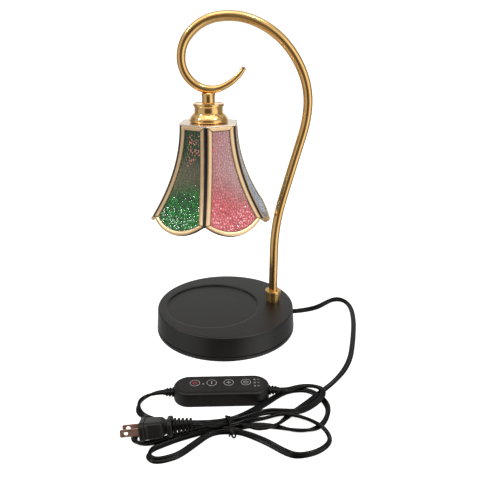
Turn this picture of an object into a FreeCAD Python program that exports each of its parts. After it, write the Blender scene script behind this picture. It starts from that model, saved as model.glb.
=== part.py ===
import FreeCAD, Part
import math, os
from FreeCAD import Vector as V

# Candle warmer lamp: a weighted round base, a bent brass arm that curls into a ring,
# a hexagonal glass shade on a hollow stem, a reflector bulb in a ceramic socket,
# an inline push-button control and a two-blade plug on a flat twin cord.
# Millimetres. Origin: centre of the base's underside. +Z up, +X towards the arm's collar.

os.makedirs("parts", exist_ok=True)

# ---------------------------------------------------------------- driving dimensions
BASE_R_TOP = 82.5        # base cover, radius of the flat top's edge
BASE_R_LOW = 84.3        # base cover, radius at the foot of the drafted wall
BASE_TOP = 29.0          # height of the base's top face
COVER_LOW = 5.3          # height of the cover's lower rim
WALL = 2.2               # cover wall thickness
TOP_T = 2.5              # cover top thickness
RECESS_R = 55.8          # candle seat recess
RECESS_X = -16.2         # centre of the recess, under the shade
RECESS_D = 1.8
SHOULDER_W, SHOULDER_D = 2.2, 0.35   # soft shoulder where the top turns down into the recess
PLATE_Z0, PLATE_Z1 = 1.4, 3.6
PLATE_R = 84.5
PLATE_RIM = 0.3, 4.3     # the plate's rim, between the floor and the groove under the cover
PAD_R = 79.0
ARM_X = 59.44            # collar and arm axis
ARM_R = 5.2              # arm tube radius, with its lacquer
BORE_R = 3.2             # bore of the arm
ARM_Z0 = 17.0            # lower end of the tube inside the base
SHADE_X = -16.2          # axis of stem, cup, shade and bulb
SHADE_TOP = 250.0
SHADE_H = 97.6           # from the shade's top to its corners
SHADE_R0, SHADE_R1, SHADE_R2 = 32.5, 1.3, 34.2   # vertex radius r(s) = R0 + R1 s + R2 s^2
SCALLOP_R, SCALLOP_Z = 49.4, 189.7               # circle of each panel's lower edge
SEAM_AZ = -101.5         # azimuth of the seam that faces the front
GLASS_T = 3.0
FRAME_T = 4.4
FRAME_W = 4.2
SEAM_GAP = 2.15          # from a vertex line to the frame beside it
CTL = (-23.31, -145.14, -7.03)   # inline control: centre x, y and turn about Z in degrees
CTL_L, CTL_W, CTL_H = 94.8, 31.5, 15.2
BUTTONS = ((-26.4, 2.5), (-9.7, 2.5), (7.1, 2.5), (24.3, 2.5))
BUTTON_R = 5.1
CORD_D = 2.8             # thickness of the flat twin cord
PLUG_P = V(-101.71, -195.79, 12.3)     # centre of the plug's face between its blades
PLUG_A = V(-0.9925, 0.0943, -0.0785)   # towards the blade tips
PLUG_S = V(0.1159, 0.9299, -0.3491)    # from blade to blade
TIE = (-21.0, -191.6, -8.93)         # twist tie: centre x, y and turn

# cord from the base to the right end of the control, round through the tie
ROUTE_1 = [
    (84.6, 0, 11), (97.5, 0, 10.9), (120.9, 12.9, 6.7), (136, 26.2, 4.9), (147.1, 35.7, 3.7), (157.3, 40.2, 2.7),
    (165.2, 36.8, 2), (168.7, 27.7, 1.6), (168.5, 14.4, 1.5), (165, -2.8, 1.5), (157.7, -26.4, 1.5), (148.2, -51, 1.5),
    (138.3, -74.9, 1.5), (127.6, -98.7, 1.5), (113.4, -120.6, 1.5), (95.7, -139.6, 2), (77.3, -157.9, 5.8), (55.3, -172.3, 3.2),
    (35.6, -184.9, 1.5), (24.5, -197.1, 4.3), (15.1, -203.8, 6.9), (2.1, -202.9, 5.2), (-7.5, -199, 8.1), (-12.8, -193.8, 4.5),
    (-22.1, -193.6, 2.1), (-34.5, -191.3, 2.9), (-52.1, -193.2, 2.8), (-73, -198, 2.9), (-87.6, -202.3, 2.8), (-99, -203.6, 2.7),
    (-107.1, -199.9, 2.4), (-108.6, -191.7, 1.6), (-102.2, -185.5, 1.5), (-90.8, -183.3, 1.5), (-75.4, -183.4, 1.5), (-54.9, -187.5, 3),
    (-27.7, -189.2, 2.4), (-4.8, -182.5, 3), (16.5, -176.4, 2.5), (31.8, -181.5, 4.1), (42.5, -185.4, 5.4), (54.6, -179, 2.5),
    (67.1, -172.4, 4.2), (74.7, -166.6, 6.8), (76.2, -159.1, 8.7), (71.9, -149.9, 5.7), (65.1, -144.8, 3.7), (55, -146.2, 4.7),
    (41.3, -153.1, 7), (33.9, -152.2, 7.4),
]
# cord from the left end of the control to the plug, round through the tie
ROUTE_2 = [
    (-80.5, -138.1, 7.4), (-86.9, -137.3, 7.1), (-98.9, -136.4, 3.1), (-105.5, -145.6, 3), (-104.9, -159.4, 1.9), (-93.4, -170, 1.5),
    (-73.5, -178.6, 1.5), (-47.5, -185, 2.9), (-23.2, -185.1, 2.8), (-6.7, -179.5, 3.1), (14.1, -167.2, 2.3), (36.5, -150, 1.5),
    (53.2, -146.9, 1.6), (66.5, -150.6, 1.5), (75.7, -164.8, 1.5), (75.9, -185.4, 2.7), (60.8, -206.4, 1.5), (39.9, -209.2, 2.7),
    (19.8, -197.7, 1.5), (4.5, -193.1, 1.5), (-7.9, -193.1, 1.5), (-15.4, -197.4, 2.3), (-24.1, -196.2, 3.1), (-35.8, -194.2, 2.9),
    (-52.1, -197.6, 2.9), (-70.6, -202.4, 2.8), (-82.7, -207.2, 2.9), (-92.1, -211.1, 2.9), (-96.5, -218.1, 2.5), (-91.3, -224.9, 2.4),
    (-81.7, -225, 2.4), (-69.6, -221.6, 2.4), (-55.8, -210.6, 2.4), (-39.2, -198, 2.9), (-20.3, -199.4, 2.8), (-8.6, -204.7, 3),
    (7.9, -217.2, 2.3), (20.1, -231.4, 2.2), (29.8, -239.3, 2.9), (47.6, -237.4, 2.8), (61.1, -229.5, 3), (65.2, -218.8, 2.4),
    (61.4, -210.1, 5.7), (54.4, -198.7, 4.5), (48.6, -190.4, 2.1), (39, -189.6, 5.8), (26.8, -185.1, 4.7), (10.9, -186.7, 2.4),
    (-5.8, -187.4, 3), (-15.6, -190.6, 2.6), (-24.6, -190.8, 4.6), (-34.3, -196.5, 8.7), (-48.1, -200.9, 16.5), (-55.6, -200.2, 15.9),
]
# arm centre line in the XZ plane: (length, turn to the left in degrees), starting upwards
ARM_SEGS = [(77.6, 0), (66.0, -15.4), (77.0, -0.7), (30.0, 13.6), (37.0, 25.5), (38.0, 21.0), (40.0, 25.5),
            (40.0, 30.2), (36.0, 41.8), (26.0, 42.4), (28.0, 49.7), (30.0, 56.5), (33.0, 38.2)]
# arm radius along the curled end: (length along the arm, radius)
ARM_TAPER = [(405.6, 5.2), (441.6, 4.98), (467.6, 4.76), (495.6, 4.57), (511.0, 4.4), (525.6, 3.75), (541.0, 3.2), (558.6, 2.55)]


# ---------------------------------------------------------------- helpers
def save(name, shape):
    if not shape.isValid():
        print("NOT VALID", name)
    if len(shape.Solids) < 1:
        print("NO SOLID", name)
    if shape.ShapeType == "Compound" and len(shape.Solids) == 1:
        shape = shape.Solids[0]
    shape.exportStep("parts/%s.step" % name)
    DONE[name] = shape
    print("%-20s solids %2d  volume %10.1f" % (name, len(shape.Solids), shape.Volume))


DONE = {}


def cyl(r, z0, z1, x=0.0, y=0.0):
    return Part.makeCylinder(r, z1 - z0, V(x, y, z0))


def box(x0, x1, y0, y1, z0, z1):
    return Part.makeBox(x1 - x0, y1 - y0, z1 - z0, V(x0, y0, z0))


def rounded(points):
    """closed outline in the XY plane; a point is (a, b) or (a, b, corner radius)"""
    n, corners, edges = len(points), [], []
    for i, p in enumerate(points):
        a, c = points[i - 1], points[(i + 1) % n]
        here = V(p[0], p[1], 0)
        if len(p) > 2 and p[2] > 0:
            u, w = V(a[0], a[1], 0) - here, V(c[0], c[1], 0) - here
            u.normalize()
            w.normalize()
            half = u.getAngle(w) / 2
            bis = u + w
            bis.normalize()
            t = p[2] / math.tan(half)
            corners.append((here + u * t, here + bis * (p[2] / math.sin(half) - p[2]), here + w * t))
        else:
            corners.append((here, None, here))
    for i in range(n):
        first, mid, last = corners[i]
        if mid is not None:
            edges.append(Part.Arc(first, mid, last).toShape())
        nxt = corners[(i + 1) % n][0]
        if (nxt - last).Length > 1e-6:
            edges.append(Part.LineSegment(last, nxt).toShape())
    return Part.Wire(edges)


def turned(points, x=0.0, y=0.0):
    """solid of revolution about a vertical axis from an outline of (radius, height)"""
    face = Part.Face(rounded(points))
    face.rotate(V(0, 0, 0), V(1, 0, 0), 90)
    solid = face.revolve(V(0, 0, 0), V(0, 0, 1), 360)
    solid.translate(V(x, y, 0))
    return solid


def prism(points, z0, z1):
    face = Part.Face(rounded(points))
    face.translate(V(0, 0, z0))
    return face.extrude(V(0, 0, z1 - z0))


def polygon(n, r, z0, z1, x=0.0, y=0.0, turn=0.0, corner=0.0):
    pts = [(x + r * math.cos(math.radians(turn + 360.0 * i / n)), y + r * math.sin(math.radians(turn + 360.0 * i / n)), corner)
           for i in range(n)]
    return prism(pts, z0, z1)


def stadium(l, w, z0, z1):
    return prism([(-l / 2, -w / 2, w / 2 - 0.001), (l / 2, -w / 2, w / 2 - 0.001), (l / 2, w / 2, w / 2 - 0.001), (-l / 2, w / 2, w / 2 - 0.001)], z0, z1)


def edges_at(shape, z, tol=1e-4):
    return [e for e in shape.Edges if abs(e.BoundBox.ZMin - z) < tol and abs(e.BoundBox.ZMax - z) < tol]


def sweep(edges, r, start, direction):
    ring = Part.Wire([Part.Circle(start, direction, r).toShape()])
    return Part.Wire(edges).makePipeShell([ring], True, False)


def route_edges(points, share=0.45):
    """straight runs joined by tangent arcs, each as large as its two runs allow"""
    pts = [V(*p) for p in points]
    edges, here, radii, length = [], pts[0], [], 0.0
    for i in range(1, len(pts) - 1):
        u, w = pts[i] - pts[i - 1], pts[i + 1] - pts[i]
        m = share * min(u.Length, w.Length)
        u.normalize()
        w.normalize()
        turn = u.getAngle(w)
        r = m / math.tan(turn / 2)
        a, b = pts[i] - u * m, pts[i] + w * m
        bis = w - u
        bis.normalize()
        mid = pts[i] + bis * (r / math.cos(turn / 2) - r)
        edges.append(Part.LineSegment(here, a).toShape())
        edges.append(Part.Arc(a, mid, b).toShape())
        length += (a - here).Length + r * turn
        radii.append((r, math.degrees(turn)))
        here = b
    edges.append(Part.LineSegment(here, pts[-1]).toShape())
    length += (pts[-1] - here).Length
    return edges, radii, length


def cord(name, points, d=CORD_D):
    edges, radii, length = route_edges(points)
    solid = sweep(edges, d / 2, V(*points[0]), V(*points[1]) - V(*points[0]))
    want = math.pi * d * d / 4 * length
    print("cord %s: length %.1f, volume %.1f of %.1f" % (name, length, solid.Volume, want))
    print("  radii " + " ".join("%.1f" % r for r, _ in radii))
    print("  largest turn %.1f" % max(t for _, t in radii))
    save(name, solid)
    return solid


def placed(shape, where):
    """from the control's or the tie's own frame to the part's frame"""
    s = shape.copy()
    s.rotate(V(0, 0, 0), V(0, 0, 1), where[2])
    s.translate(V(where[0], where[1], 0))
    return s


def group(shapes):
    return Part.makeCompound(shapes)


# ---------------------------------------------------------------- base
slope = (BASE_R_LOW - BASE_R_TOP) / (BASE_TOP - 2.0 - COVER_LOW)
cover = turned([(0, BASE_TOP), (0, BASE_TOP - TOP_T), (BASE_R_TOP - WALL + 0.1, BASE_TOP - TOP_T, 1.5), (BASE_R_LOW - WALL, COVER_LOW),
                (BASE_R_LOW, COVER_LOW, 0.4), (BASE_R_TOP + 0.12, BASE_TOP, 2.0)])
under_boss = turned([(0, BASE_TOP - TOP_T + 0.5), (0, BASE_TOP - TOP_T - 1.5), (RECESS_R + 1.6, BASE_TOP - TOP_T - 1.5, 1.0), (RECESS_R + 1.6, BASE_TOP - TOP_T + 0.5)], RECESS_X)
recess = turned([(0, BASE_TOP + 5), (0, BASE_TOP - RECESS_D), (RECESS_R, BASE_TOP - RECESS_D, 0.5), (RECESS_R, BASE_TOP - SHOULDER_D),
                 (RECESS_R + SHOULDER_W, BASE_TOP), (RECESS_R + SHOULDER_W, BASE_TOP + 5)], RECESS_X)
cover = cover.fuse(under_boss).cut(recess)
cover = cover.makeFillet(0.8, [e for e in edges_at(cover, BASE_TOP - SHOULDER_D) if e.Curve.TypeId == "Part::GeomCircle" and abs(e.Curve.Radius - RECESS_R) < 0.01])
BOSS_AT = [(72.0 * math.cos(math.radians(a)), 72.0 * math.sin(math.radians(a))) for a in (45, 135, 225, 315)]
for bx, by in BOSS_AT:
    cover = cover.fuse(cyl(4.0, PLATE_Z1, BASE_TOP - TOP_T + 0.2, bx, by))
for bx, by in BOSS_AT:
    cover = cover.cut(cyl(1.25, PLATE_Z1 - 1, 16.0, bx, by))
cover = cover.cut(cyl(ARM_R + 0.1, BASE_TOP - TOP_T - 5, BASE_TOP + 5, ARM_X))
cover = cover.cut(Part.makeCylinder(4.0, 20, V(75, 0, 11.0), V(1, 0, 0)))
save("base_cover", cover)

plate = turned([(0, PLATE_Z0), (79.5, PLATE_Z0), (79.5, PLATE_RIM[0], 0.3), (PLATE_R, PLATE_RIM[0], 0.5), (PLATE_R, PLATE_RIM[1], 0.5), (83.0, PLATE_RIM[1]), (83.0, COVER_LOW),
                (81.0, COVER_LOW), (81.0, PLATE_Z1), (0, PLATE_Z1)])
BALLAST_AT = [(-8.0, 52.0), (-8.0, -52.0)]
for bx, by in BOSS_AT + BALLAST_AT:
    cone = Part.makeCone(2.85, 1.55, 1.4, V(bx, by, PLATE_Z0), V(0, 0, 1))
    plate = plate.cut(cone).cut(cyl(1.6, PLATE_Z0 - 1, PLATE_Z1 + 1, bx, by))
save("bottom_plate", plate)

pad = turned([(0, 0), (PAD_R, 0, 0.4), (PAD_R, PLATE_Z0), (0, PLATE_Z0)])
save("base_pad", pad)

ballast = turned([(0, PLATE_Z1), (66.0, PLATE_Z1, 0.8), (66.0, 16.4, 1.5), (0, 16.4)])
ballast = ballast.cut(box(40.0, 70.0, -26.0, 26.0, 0, 30))
for bx, by in BALLAST_AT:
    ballast = ballast.cut(cyl(1.25, PLATE_Z1 - 1, 13.0, bx, by))
save("ballast", ballast)


def flat_screw(x, y, z_head, length, r=1.24, head=2.8):
    """countersunk screw driven upwards, its head flush at z_head"""
    s = Part.makeCone(head, 1.5, 1.35, V(x, y, z_head), V(0, 0, 1)).fuse(cyl(r, z_head + 1.35, z_head + length, x, y))
    s = s.fuse(Part.makeCone(r, 0.3, 1.2, V(x, y, z_head + length), V(0, 0, 1)))
    return s.cut(box(x - 1.6, x + 1.6, y - 0.3, y + 0.3, z_head - 1, z_head + 0.7)).cut(box(x - 0.3, x + 0.3, y - 1.6, y + 1.6, z_head - 1, z_head + 0.7))


save("cover_screws", group([flat_screw(x, y, PLATE_Z0 + 0.02, 12.0) for x, y in BOSS_AT]))
save("ballast_screws", group([flat_screw(x, y, PLATE_Z0 + 0.02, 9.0) for x, y in BALLAST_AT]))

# gland of the cord in the wall, clamp and terminal block inside
gland = Part.makeCylinder(3.95, 5.0, V(79.6, 0, 11.0), V(1, 0, 0)).fuse(Part.makeCylinder(4.9, 1.9, V(82.7, 0, 11.0), V(1, 0, 0)))
gland = gland.fuse(Part.makeCylinder(4.9, 1.4, V(79.2, 0, 11.0), V(1, 0, 0)))
gland = gland.cut(Part.makeCylinder(CORD_D / 2 + 0.1, 30, V(70, 0, 11.0), V(1, 0, 0))).cut(cover)
gland = max(gland.Solids, key=lambda s: s.Volume)
save("cord_gland", gland)

clamp = box(70.2, 77.2, -9.0, 9.0, PLATE_Z1, 14.4).cut(Part.makeCylinder(CORD_D / 2 + 0.1, 30, V(60, 0, 11.0), V(1, 0, 0)))
for y in (-5.5, 5.5):
    clamp = clamp.cut(cyl(1.25, PLATE_Z1 + 0.2, 20, 73.7, y))
save("cord_clamp", clamp)


def pan_screw(x, y, z_seat, length, r=1.24, head=2.4):
    s = cyl(head, z_seat, z_seat + 1.6, x, y).fuse(cyl(r, z_seat - length, z_seat, x, y))
    return s.cut(box(x - 1.5, x + 1.5, y - 0.3, y + 0.3, z_seat + 0.9, z_seat + 3))


save("clamp_screws", group([pan_screw(73.7, y, 14.4, 9.0) for y in (-5.5, 5.5)]))

block = box(52.4, 66.4, -8.0, 8.0, PLATE_Z1, 14.6)
block = block.makeFillet(0.8, [e for e in block.Edges if abs(e.BoundBox.ZMax - e.BoundBox.ZMin) > 5])
for y in (-4.5, 4.5):
    block = block.cut(cyl(1.8, 11.5, 20, 55.6, y)).cut(cyl(1.8, 11.5, 20, 63.2, y))
save("terminal_block", block)

base_lead = Part.makeCylinder(CORD_D / 2, 84.6 - 66.4, V(66.4, 0, 11.0), V(1, 0, 0))
save("base_lead", base_lead)

# ---------------------------------------------------------------- arm
def walk(segs, x, z, heading):
    """arm centre line: edges, and a function from length to (x, z, heading)"""
    edges, table, s = [], [], 0.0
    for length, turn in segs:
        table.append((s, length, turn, x, z, heading))
        x1, z1, h1 = step(x, z, heading, length, turn, length)
        xm, zm, _ = step(x, z, heading, length, turn, length / 2)
        a, m, b = V(x, 0, z), V(xm, 0, zm), V(x1, 0, z1)
        edges.append(Part.LineSegment(a, b).toShape() if turn == 0 else Part.Arc(a, m, b).toShape())
        x, z, heading, s = x1, z1, h1, s + length
    return edges, table


def step(x, z, h, length, turn, d):
    if turn == 0:
        return x + d * math.cos(h), z + d * math.sin(h), h
    k = math.radians(turn) / length
    return x + (math.sin(h + k * d) - math.sin(h)) / k, z - (math.cos(h + k * d) - math.cos(h)) / k, h + k * d


ARM_EDGES, ARM_TABLE = walk(ARM_SEGS, ARM_X, ARM_Z0, math.pi / 2)


def arm_at(s):
    for s0, length, turn, x, z, h in ARM_TABLE:
        if s <= s0 + length + 1e-6:
            return step(x, z, h, length, turn, s - s0)
    s0, length, turn, x, z, h = ARM_TABLE[-1]
    return step(x, z, h, length, turn, length)


def arm_radius(s):
    t = ARM_TAPER
    if s <= t[0][0]:
        return t[0][1]
    for (a, ra), (b, rb) in zip(t, t[1:]):
        if s <= b:
            return ra + (rb - ra) * (s - a) / (b - a)
    return t[-1][1]


def ring_at(s, r):
    x, z, h = arm_at(s)
    return Part.Wire([Part.Circle(V(x, 0, z), V(math.cos(h), 0, math.sin(h)), r).toShape()])


def bore_edges(length):
    """the arm's centre line cut off at this length"""
    edges, left = [], length
    for s0, l, turn, x, z, h in ARM_TABLE:
        d = min(l, left)
        if d <= 1e-6:
            break
        x1, z1, _ = step(x, z, h, l, turn, d)
        xm, zm, _ = step(x, z, h, l, turn, d / 2)
        a, b = V(x, 0, z), V(x1, 0, z1)
        edges.append(Part.LineSegment(a, b).toShape() if turn == 0 else Part.Arc(a, V(xm, 0, zm), b).toShape())
        left -= l
    return edges


FULL = sum(l for l, _ in ARM_SEGS)
outer = sweep(bore_edges(405.6), ARM_R, V(ARM_X, 0, ARM_Z0), V(0, 0, 1))
count = 26
curl = Part.makeLoft([ring_at(405.6 + (FULL - 405.6) * i / count, arm_radius(405.6 + (FULL - 405.6) * i / count)) for i in range(count + 1)], True, False)
arm_solid = outer.fuse(curl)
# the hollow runs from the base to the stem
s_stem = 480.0
while arm_at(s_stem)[0] < SHADE_X:
    s_stem += 0.1
bore = sweep(bore_edges(s_stem + 3.5), BORE_R, V(ARM_X, 0, ARM_Z0), V(0, 0, 1))
ring_z = arm_at(s_stem)[1]
arm = arm_solid.cut(bore).cut(cyl(BORE_R - 0.2, ring_z - 8, ring_z, SHADE_X))
save("arm_tube", arm)

collar = turned([(ARM_R + 0.04, BASE_TOP), (8.3, BASE_TOP, 0.3), (8.3, 30.6, 0.3), (8.8, 31.6, 0.4), (8.8, 39.0, 0.4), (9.5, 39.8, 0.3), (9.5, 43.5, 0.6), (ARM_R + 0.04, 43.5)], ARM_X)
save("arm_collar", collar)
washer = turned([(ARM_R + 0.1, 25.3), (8.4, 25.3), (8.4, 26.5), (ARM_R + 0.1, 26.5)], ARM_X)
save("lock_washer", washer)
nut = polygon(6, 8.1, 20.3, 25.3, ARM_X).cut(cyl(ARM_R + 0.04, 19, 27, ARM_X))
nut = nut.common(turned([(0, 20.3), (7.4, 20.3), (8.2, 20.8), (8.2, 24.8), (7.4, 25.3), (0, 25.3)], ARM_X))
save("lock_nut", nut)

stem = turned([(0, 270.6), (7.0, 270.6), (7.0, ring_z - 7.4, 3.0), (7.7, ring_z - 4.4, 0.6), (6.6, ring_z - 3.3, 0.5), (0, ring_z - 3.3)], SHADE_X).cut(arm_solid).cut(cyl(4.85, 269, 276.0, SHADE_X)).cut(cyl(3.0, 269, 290, SHADE_X))
stem = max(stem.Solids, key=lambda s: s.Volume)
save("stem", stem)

# lead inside the arm, from the terminal block to the socket
lead_r = 3.4
s_turn = 470.0
while True:
    x, z, h = arm_at(s_turn)
    a = h - 2 * math.pi if h > 2 * math.pi else h
    if x + lead_r * (1 - math.cos(a + math.pi / 2)) >= SHADE_X:
        break
    s_turn += 0.02
x, z, h = arm_at(s_turn)
cx, cz = x - lead_r * math.cos(h + math.pi / 2), z - lead_r * math.sin(h + math.pi / 2)
a0, a1 = (h + math.pi / 2) % (2 * math.pi), 0.0
am = (a0 + a1) / 2
end = V(cx + lead_r, 0, cz)
lead_edges = [Part.LineSegment(V(ARM_X, 0, 14.6), V(ARM_X, 0, ARM_Z0)).toShape()] + bore_edges(s_turn)
lead_edges.append(Part.Arc(V(x, 0, z), V(cx + lead_r * math.cos(am), 0, cz + lead_r * math.sin(am)), end).toShape())
lead_edges.append(Part.LineSegment(end, V(end.x, 0, 262.5)).toShape())
save("arm_lead", sweep(lead_edges, 1.3, V(ARM_X, 0, 14.6), V(0, 0, 1)))

# ---------------------------------------------------------------- cup, socket and shade fastening
PLATE_TOP = SHADE_TOP + 0.8


def cup_wire():
    def arc(a, b, c):
        return Part.Arc(V(a[0], 0, a[1]), V(b[0], 0, b[1]), V(c[0], 0, c[1])).toShape()

    def line(a, b):
        return Part.LineSegment(V(a[0], 0, a[1]), V(b[0], 0, b[1])).toShape()
    z = PLATE_TOP
    return Part.Wire([
        line((4.9, 270.2), (15.1, 270.2)), line((15.1, 270.2), (15.5, 270.6)), line((15.5, 270.6), (16.8, 270.6)),
        arc((16.8, 270.6), (17.15, 269.3), (16.8, 268.0)), line((16.8, 268.0), (16.1, 267.8)),
        arc((16.1, 267.8), (15.4, 263.6), (16.9, 259.6)), arc((16.9, 259.6), (19.3, 257.3), (21.1, 254.6)),
        arc((21.1, 254.6), (21.1, 252.2), (19.3, z)), line((19.3, z), (17.5, z)),
        arc((17.5, z), (19.4, 252.6), (19.4, 254.1)), arc((19.4, 254.1), (17.9, 256.5), (15.6, 258.8)),
        arc((15.6, 258.8), (13.9, 263.4), (14.4, 267.2)), line((14.4, 267.2), (13.8, 268.2)), line((13.8, 268.2), (4.9, 268.2)),
        line((4.9, 268.2), (4.9, 270.2))])


cup = Part.Face(cup_wire()).revolve(V(0, 0, 0), V(0, 0, 1), 360)
cup.translate(V(SHADE_X, 0, 0))
save("socket_cup", cup)

nipple = turned([(3.3, 262.9), (4.8, 262.9, 0.3), (4.8, 275.6, 0.3), (3.3, 275.6)], SHADE_X)
save("nipple", nipple)
nipple_nut = polygon(6, 7.2, 264.9, 268.2, SHADE_X, 0, 30).cut(cyl(4.84, 260, 270, SHADE_X))
save("nipple_nut", nipple_nut)
bracket = box(SHADE_X - 11.0, SHADE_X + 11.0, -6.4, 6.4, 263.5, 264.7)
bracket = bracket.cut(cyl(4.9, 260, 270, SHADE_X)).cut(cyl(1.4, 260, 270, SHADE_X - 9.0)).cut(cyl(1.4, 260, 270, SHADE_X + 9.0))
save("socket_bracket", bracket)

SOCK_Z0, SOCK_Z1 = 248.6, 262.5
socket = turned([(0, SOCK_Z0), (11.9, SOCK_Z0, 0.8), (11.9, SOCK_Z1, 0.8), (0, SOCK_Z1)], SHADE_X)
TWIST = 25.0
for start in (0.0, 180.0):
    a, b = math.radians(start), math.radians(start + TWIST)
    slot = cyl(2.8, SOCK_Z0 - 1, 257.0, SHADE_X + 5 * math.cos(a), 5 * math.sin(a))
    slot = slot.fuse(cyl(2.8, SOCK_Z0 - 1, 257.0, SHADE_X + 5 * math.cos(b), 5 * math.sin(b)))
    sector = Part.makeCylinder(7.8, 258.0 - SOCK_Z0, V(0, 0, SOCK_Z0 - 1), V(0, 0, 1), TWIST).cut(Part.makeCylinder(2.2, 12, V(0, 0, SOCK_Z0 - 2)))
    sector.rotate(V(0, 0, 0), V(0, 0, 1), start)
    sector.translate(V(SHADE_X, 0, 0))
    socket = socket.cut(slot.fuse(sector))
for sx in (-9.0, 9.0):
    socket = socket.cut(cyl(1.25, 256.5, 264, SHADE_X + sx))
    socket = socket.fuse(turned([(1.25, SOCK_Z1), (2.4, SOCK_Z1), (2.4, 263.5), (1.25, 263.5)], SHADE_X + sx))
save("lamp_socket", socket)
save("socket_screws", group([pan_screw(SHADE_X + sx, 0, 264.7, 6.5) for sx in (-9.0, 9.0)]))

lock_ring = turned([(13.6, 247.2), (24.0, 247.2, 0.5), (24.0, 249.38, 0.3), (16.7, 249.38), (16.7, 257.0, 0.3), (14.7, 257.0, 0.3), (14.7, 249.2), (13.6, 249.2)], SHADE_X)
save("shade_lock_ring", lock_ring)


# ---------------------------------------------------------------- shade
def vertex_r(s):
    return SHADE_R0 + SHADE_R1 * s + SHADE_R2 * s * s


def slab(t):
    """curved sheet of thickness t: flat across, bending outwards on the way down"""
    c30 = math.cos(math.radians(30))
    inner, outer = [], []
    for i in range(13):
        s = -0.02 + 1.20 * i / 12
        a, z = c30 * vertex_r(s), SHADE_TOP - SHADE_H * s
        da, dz = c30 * (SHADE_R1 + 2 * SHADE_R2 * s), -SHADE_H
        n = math.hypot(da, dz)
        na, nz = -dz / n, da / n
        outer.append(V(a + na * t / 2, 0, z + nz * t / 2))
        inner.append(V(a - na * t / 2, 0, z - nz * t / 2))
    inner.reverse()
    c1, c2 = Part.BSplineCurve(), Part.BSplineCurve()
    c1.interpolate(outer)
    c2.interpolate(inner)
    wire = Part.Wire([c1.toShape(), Part.LineSegment(outer[-1], inner[0]).toShape(), c2.toShape(), Part.LineSegment(inner[-1], outer[0]).toShape()])
    face = Part.Face(wire)
    face.translate(V(0, -60, 0))
    return face.extrude(V(0, 120, 0))


def window(inset, top, drop):
    """prism along the panel's normal: the panel's outline with its sides set in, its top lowered and its scallop raised"""
    s0, s1 = (SHADE_TOP - top) / SHADE_H, 1.16
    z0, z1 = SHADE_TOP - SHADE_H * s0, SHADE_TOP - SHADE_H * s1
    w0, w1 = vertex_r(s0) / 2 - inset, vertex_r(s1) / 2 - inset
    wm = w0 + (SHADE_R1 + 2 * SHADE_R2 * s0) / 2 * (s1 - s0) / 2
    zm = (z0 + z1) / 2
    right, left = Part.BezierCurve(), Part.BezierCurve()
    right.setPoles([V(0, w0, z0), V(0, wm, zm), V(0, w1, z1)])
    left.setPoles([V(0, -w1, z1), V(0, -wm, zm), V(0, -w0, z0)])
    wire = Part.Wire([right.toShape(), Part.LineSegment(V(0, w1, z1), V(0, -w1, z1)).toShape(), left.toShape(), Part.LineSegment(V(0, -w0, z0), V(0, w0, z0)).toShape()])
    solid = Part.Face(wire).extrude(V(100, 0, 0))
    disc = Part.makeCylinder(SCALLOP_R - drop, 120, V(-5, 0, SCALLOP_Z), V(1, 0, 0))
    over = box(-5, 115, -60, 60, SCALLOP_Z, SCALLOP_Z + 80)
    return solid.common(disc.fuse(over))


PANEL_TOP = SHADE_TOP - 0.62
glass0 = slab(GLASS_T).common(window(SEAM_GAP + FRAME_W - 1.4, PANEL_TOP - FRAME_W + 1.4, 3.6 - 1.2))
frame0 = slab(FRAME_T).common(window(SEAM_GAP, PANEL_TOP, 0.0)).cut(window(SEAM_GAP + FRAME_W, PANEL_TOP - FRAME_W + 0.1, 3.6)).cut(glass0)
frame0 = max(frame0.Solids, key=lambda s: s.Volume)
for k in range(6):
    for name, shape in (("glass_panel", glass0), ("panel_frame", frame0)):
        s = shape.copy()
        s.rotate(V(0, 0, 0), V(0, 0, 1), SEAM_AZ + 30 + 60 * k)
        s.translate(V(SHADE_X, 0, 0))
        save("%s_%d" % (name, k + 1), s)

seam_pts = []
knots = [0.012 + (1.0 - 0.012) * i / 6 for i in range(7)]
seam_pts.append((vertex_r(knots[0]), knots[0]))
for a, b in zip(knots, knots[1:]):
    seam_pts.append((vertex_r(a) + (SHADE_R1 + 2 * SHADE_R2 * a) * (b - a) / 2, (a + b) / 2))
seam_pts.append((vertex_r(1.0), 1.0))
seam_xyz = [(r, 0, SHADE_TOP - SHADE_H * s) for r, s in seam_pts]
seam_edges, _, _ = route_edges(seam_xyz, 0.47)
seam0 = sweep(seam_edges, 1.85, V(*seam_xyz[0]), V(*seam_xyz[1]) - V(*seam_xyz[0]))
seam0 = seam0.fuse(Part.makeSphere(1.85, V(*seam_xyz[-1])))
seams = []
for k in range(6):
    s = seam0.copy()
    s.rotate(V(0, 0, 0), V(0, 0, 1), SEAM_AZ + 60 * k)
    s.translate(V(SHADE_X, 0, 0))
    seams.append(s)
save("seam_strips", group(seams))

top_plate = polygon(6, 35.0, PANEL_TOP + 0.02, PLATE_TOP, SHADE_X, 0, SEAM_AZ, 1.6).cut(cyl(16.9, 240, 260, SHADE_X))
save("shade_top_plate", top_plate)

# ---------------------------------------------------------------- bulb
bulb = turned([(0, 200.2), (22.6, 200.2, 0.2), (23.4, 198.6), (24.4, 198.3, 0.3), (25.0, 199.2, 0.5), (25.0, 203.0, 0.8), (22.6, 211.5, 12), (17.2, 223.5, 12), (11.4, 232.5, 4), (9.5, 236.5, 1.5), (9.5, 247.4, 0.6), (0, 247.4)], SHADE_X)
save("bulb_body", bulb)
lens = turned([(0, 198.7), (22.2, 198.9, 0.3), (22.2, 200.15), (0, 200.15)], SHADE_X)
save("bulb_lens", lens)
pins = []
for sgn in (-1, 1):
    pins.append(cyl(1.6, 247.4, 252.2, SHADE_X + 5 * sgn).fuse(turned([(0, 252.2), (2.45, 252.2, 0.2), (2.45, 254.6, 0.5), (0, 254.6)], SHADE_X + 5 * sgn)))
save("bulb_pins", group(pins))

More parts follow.
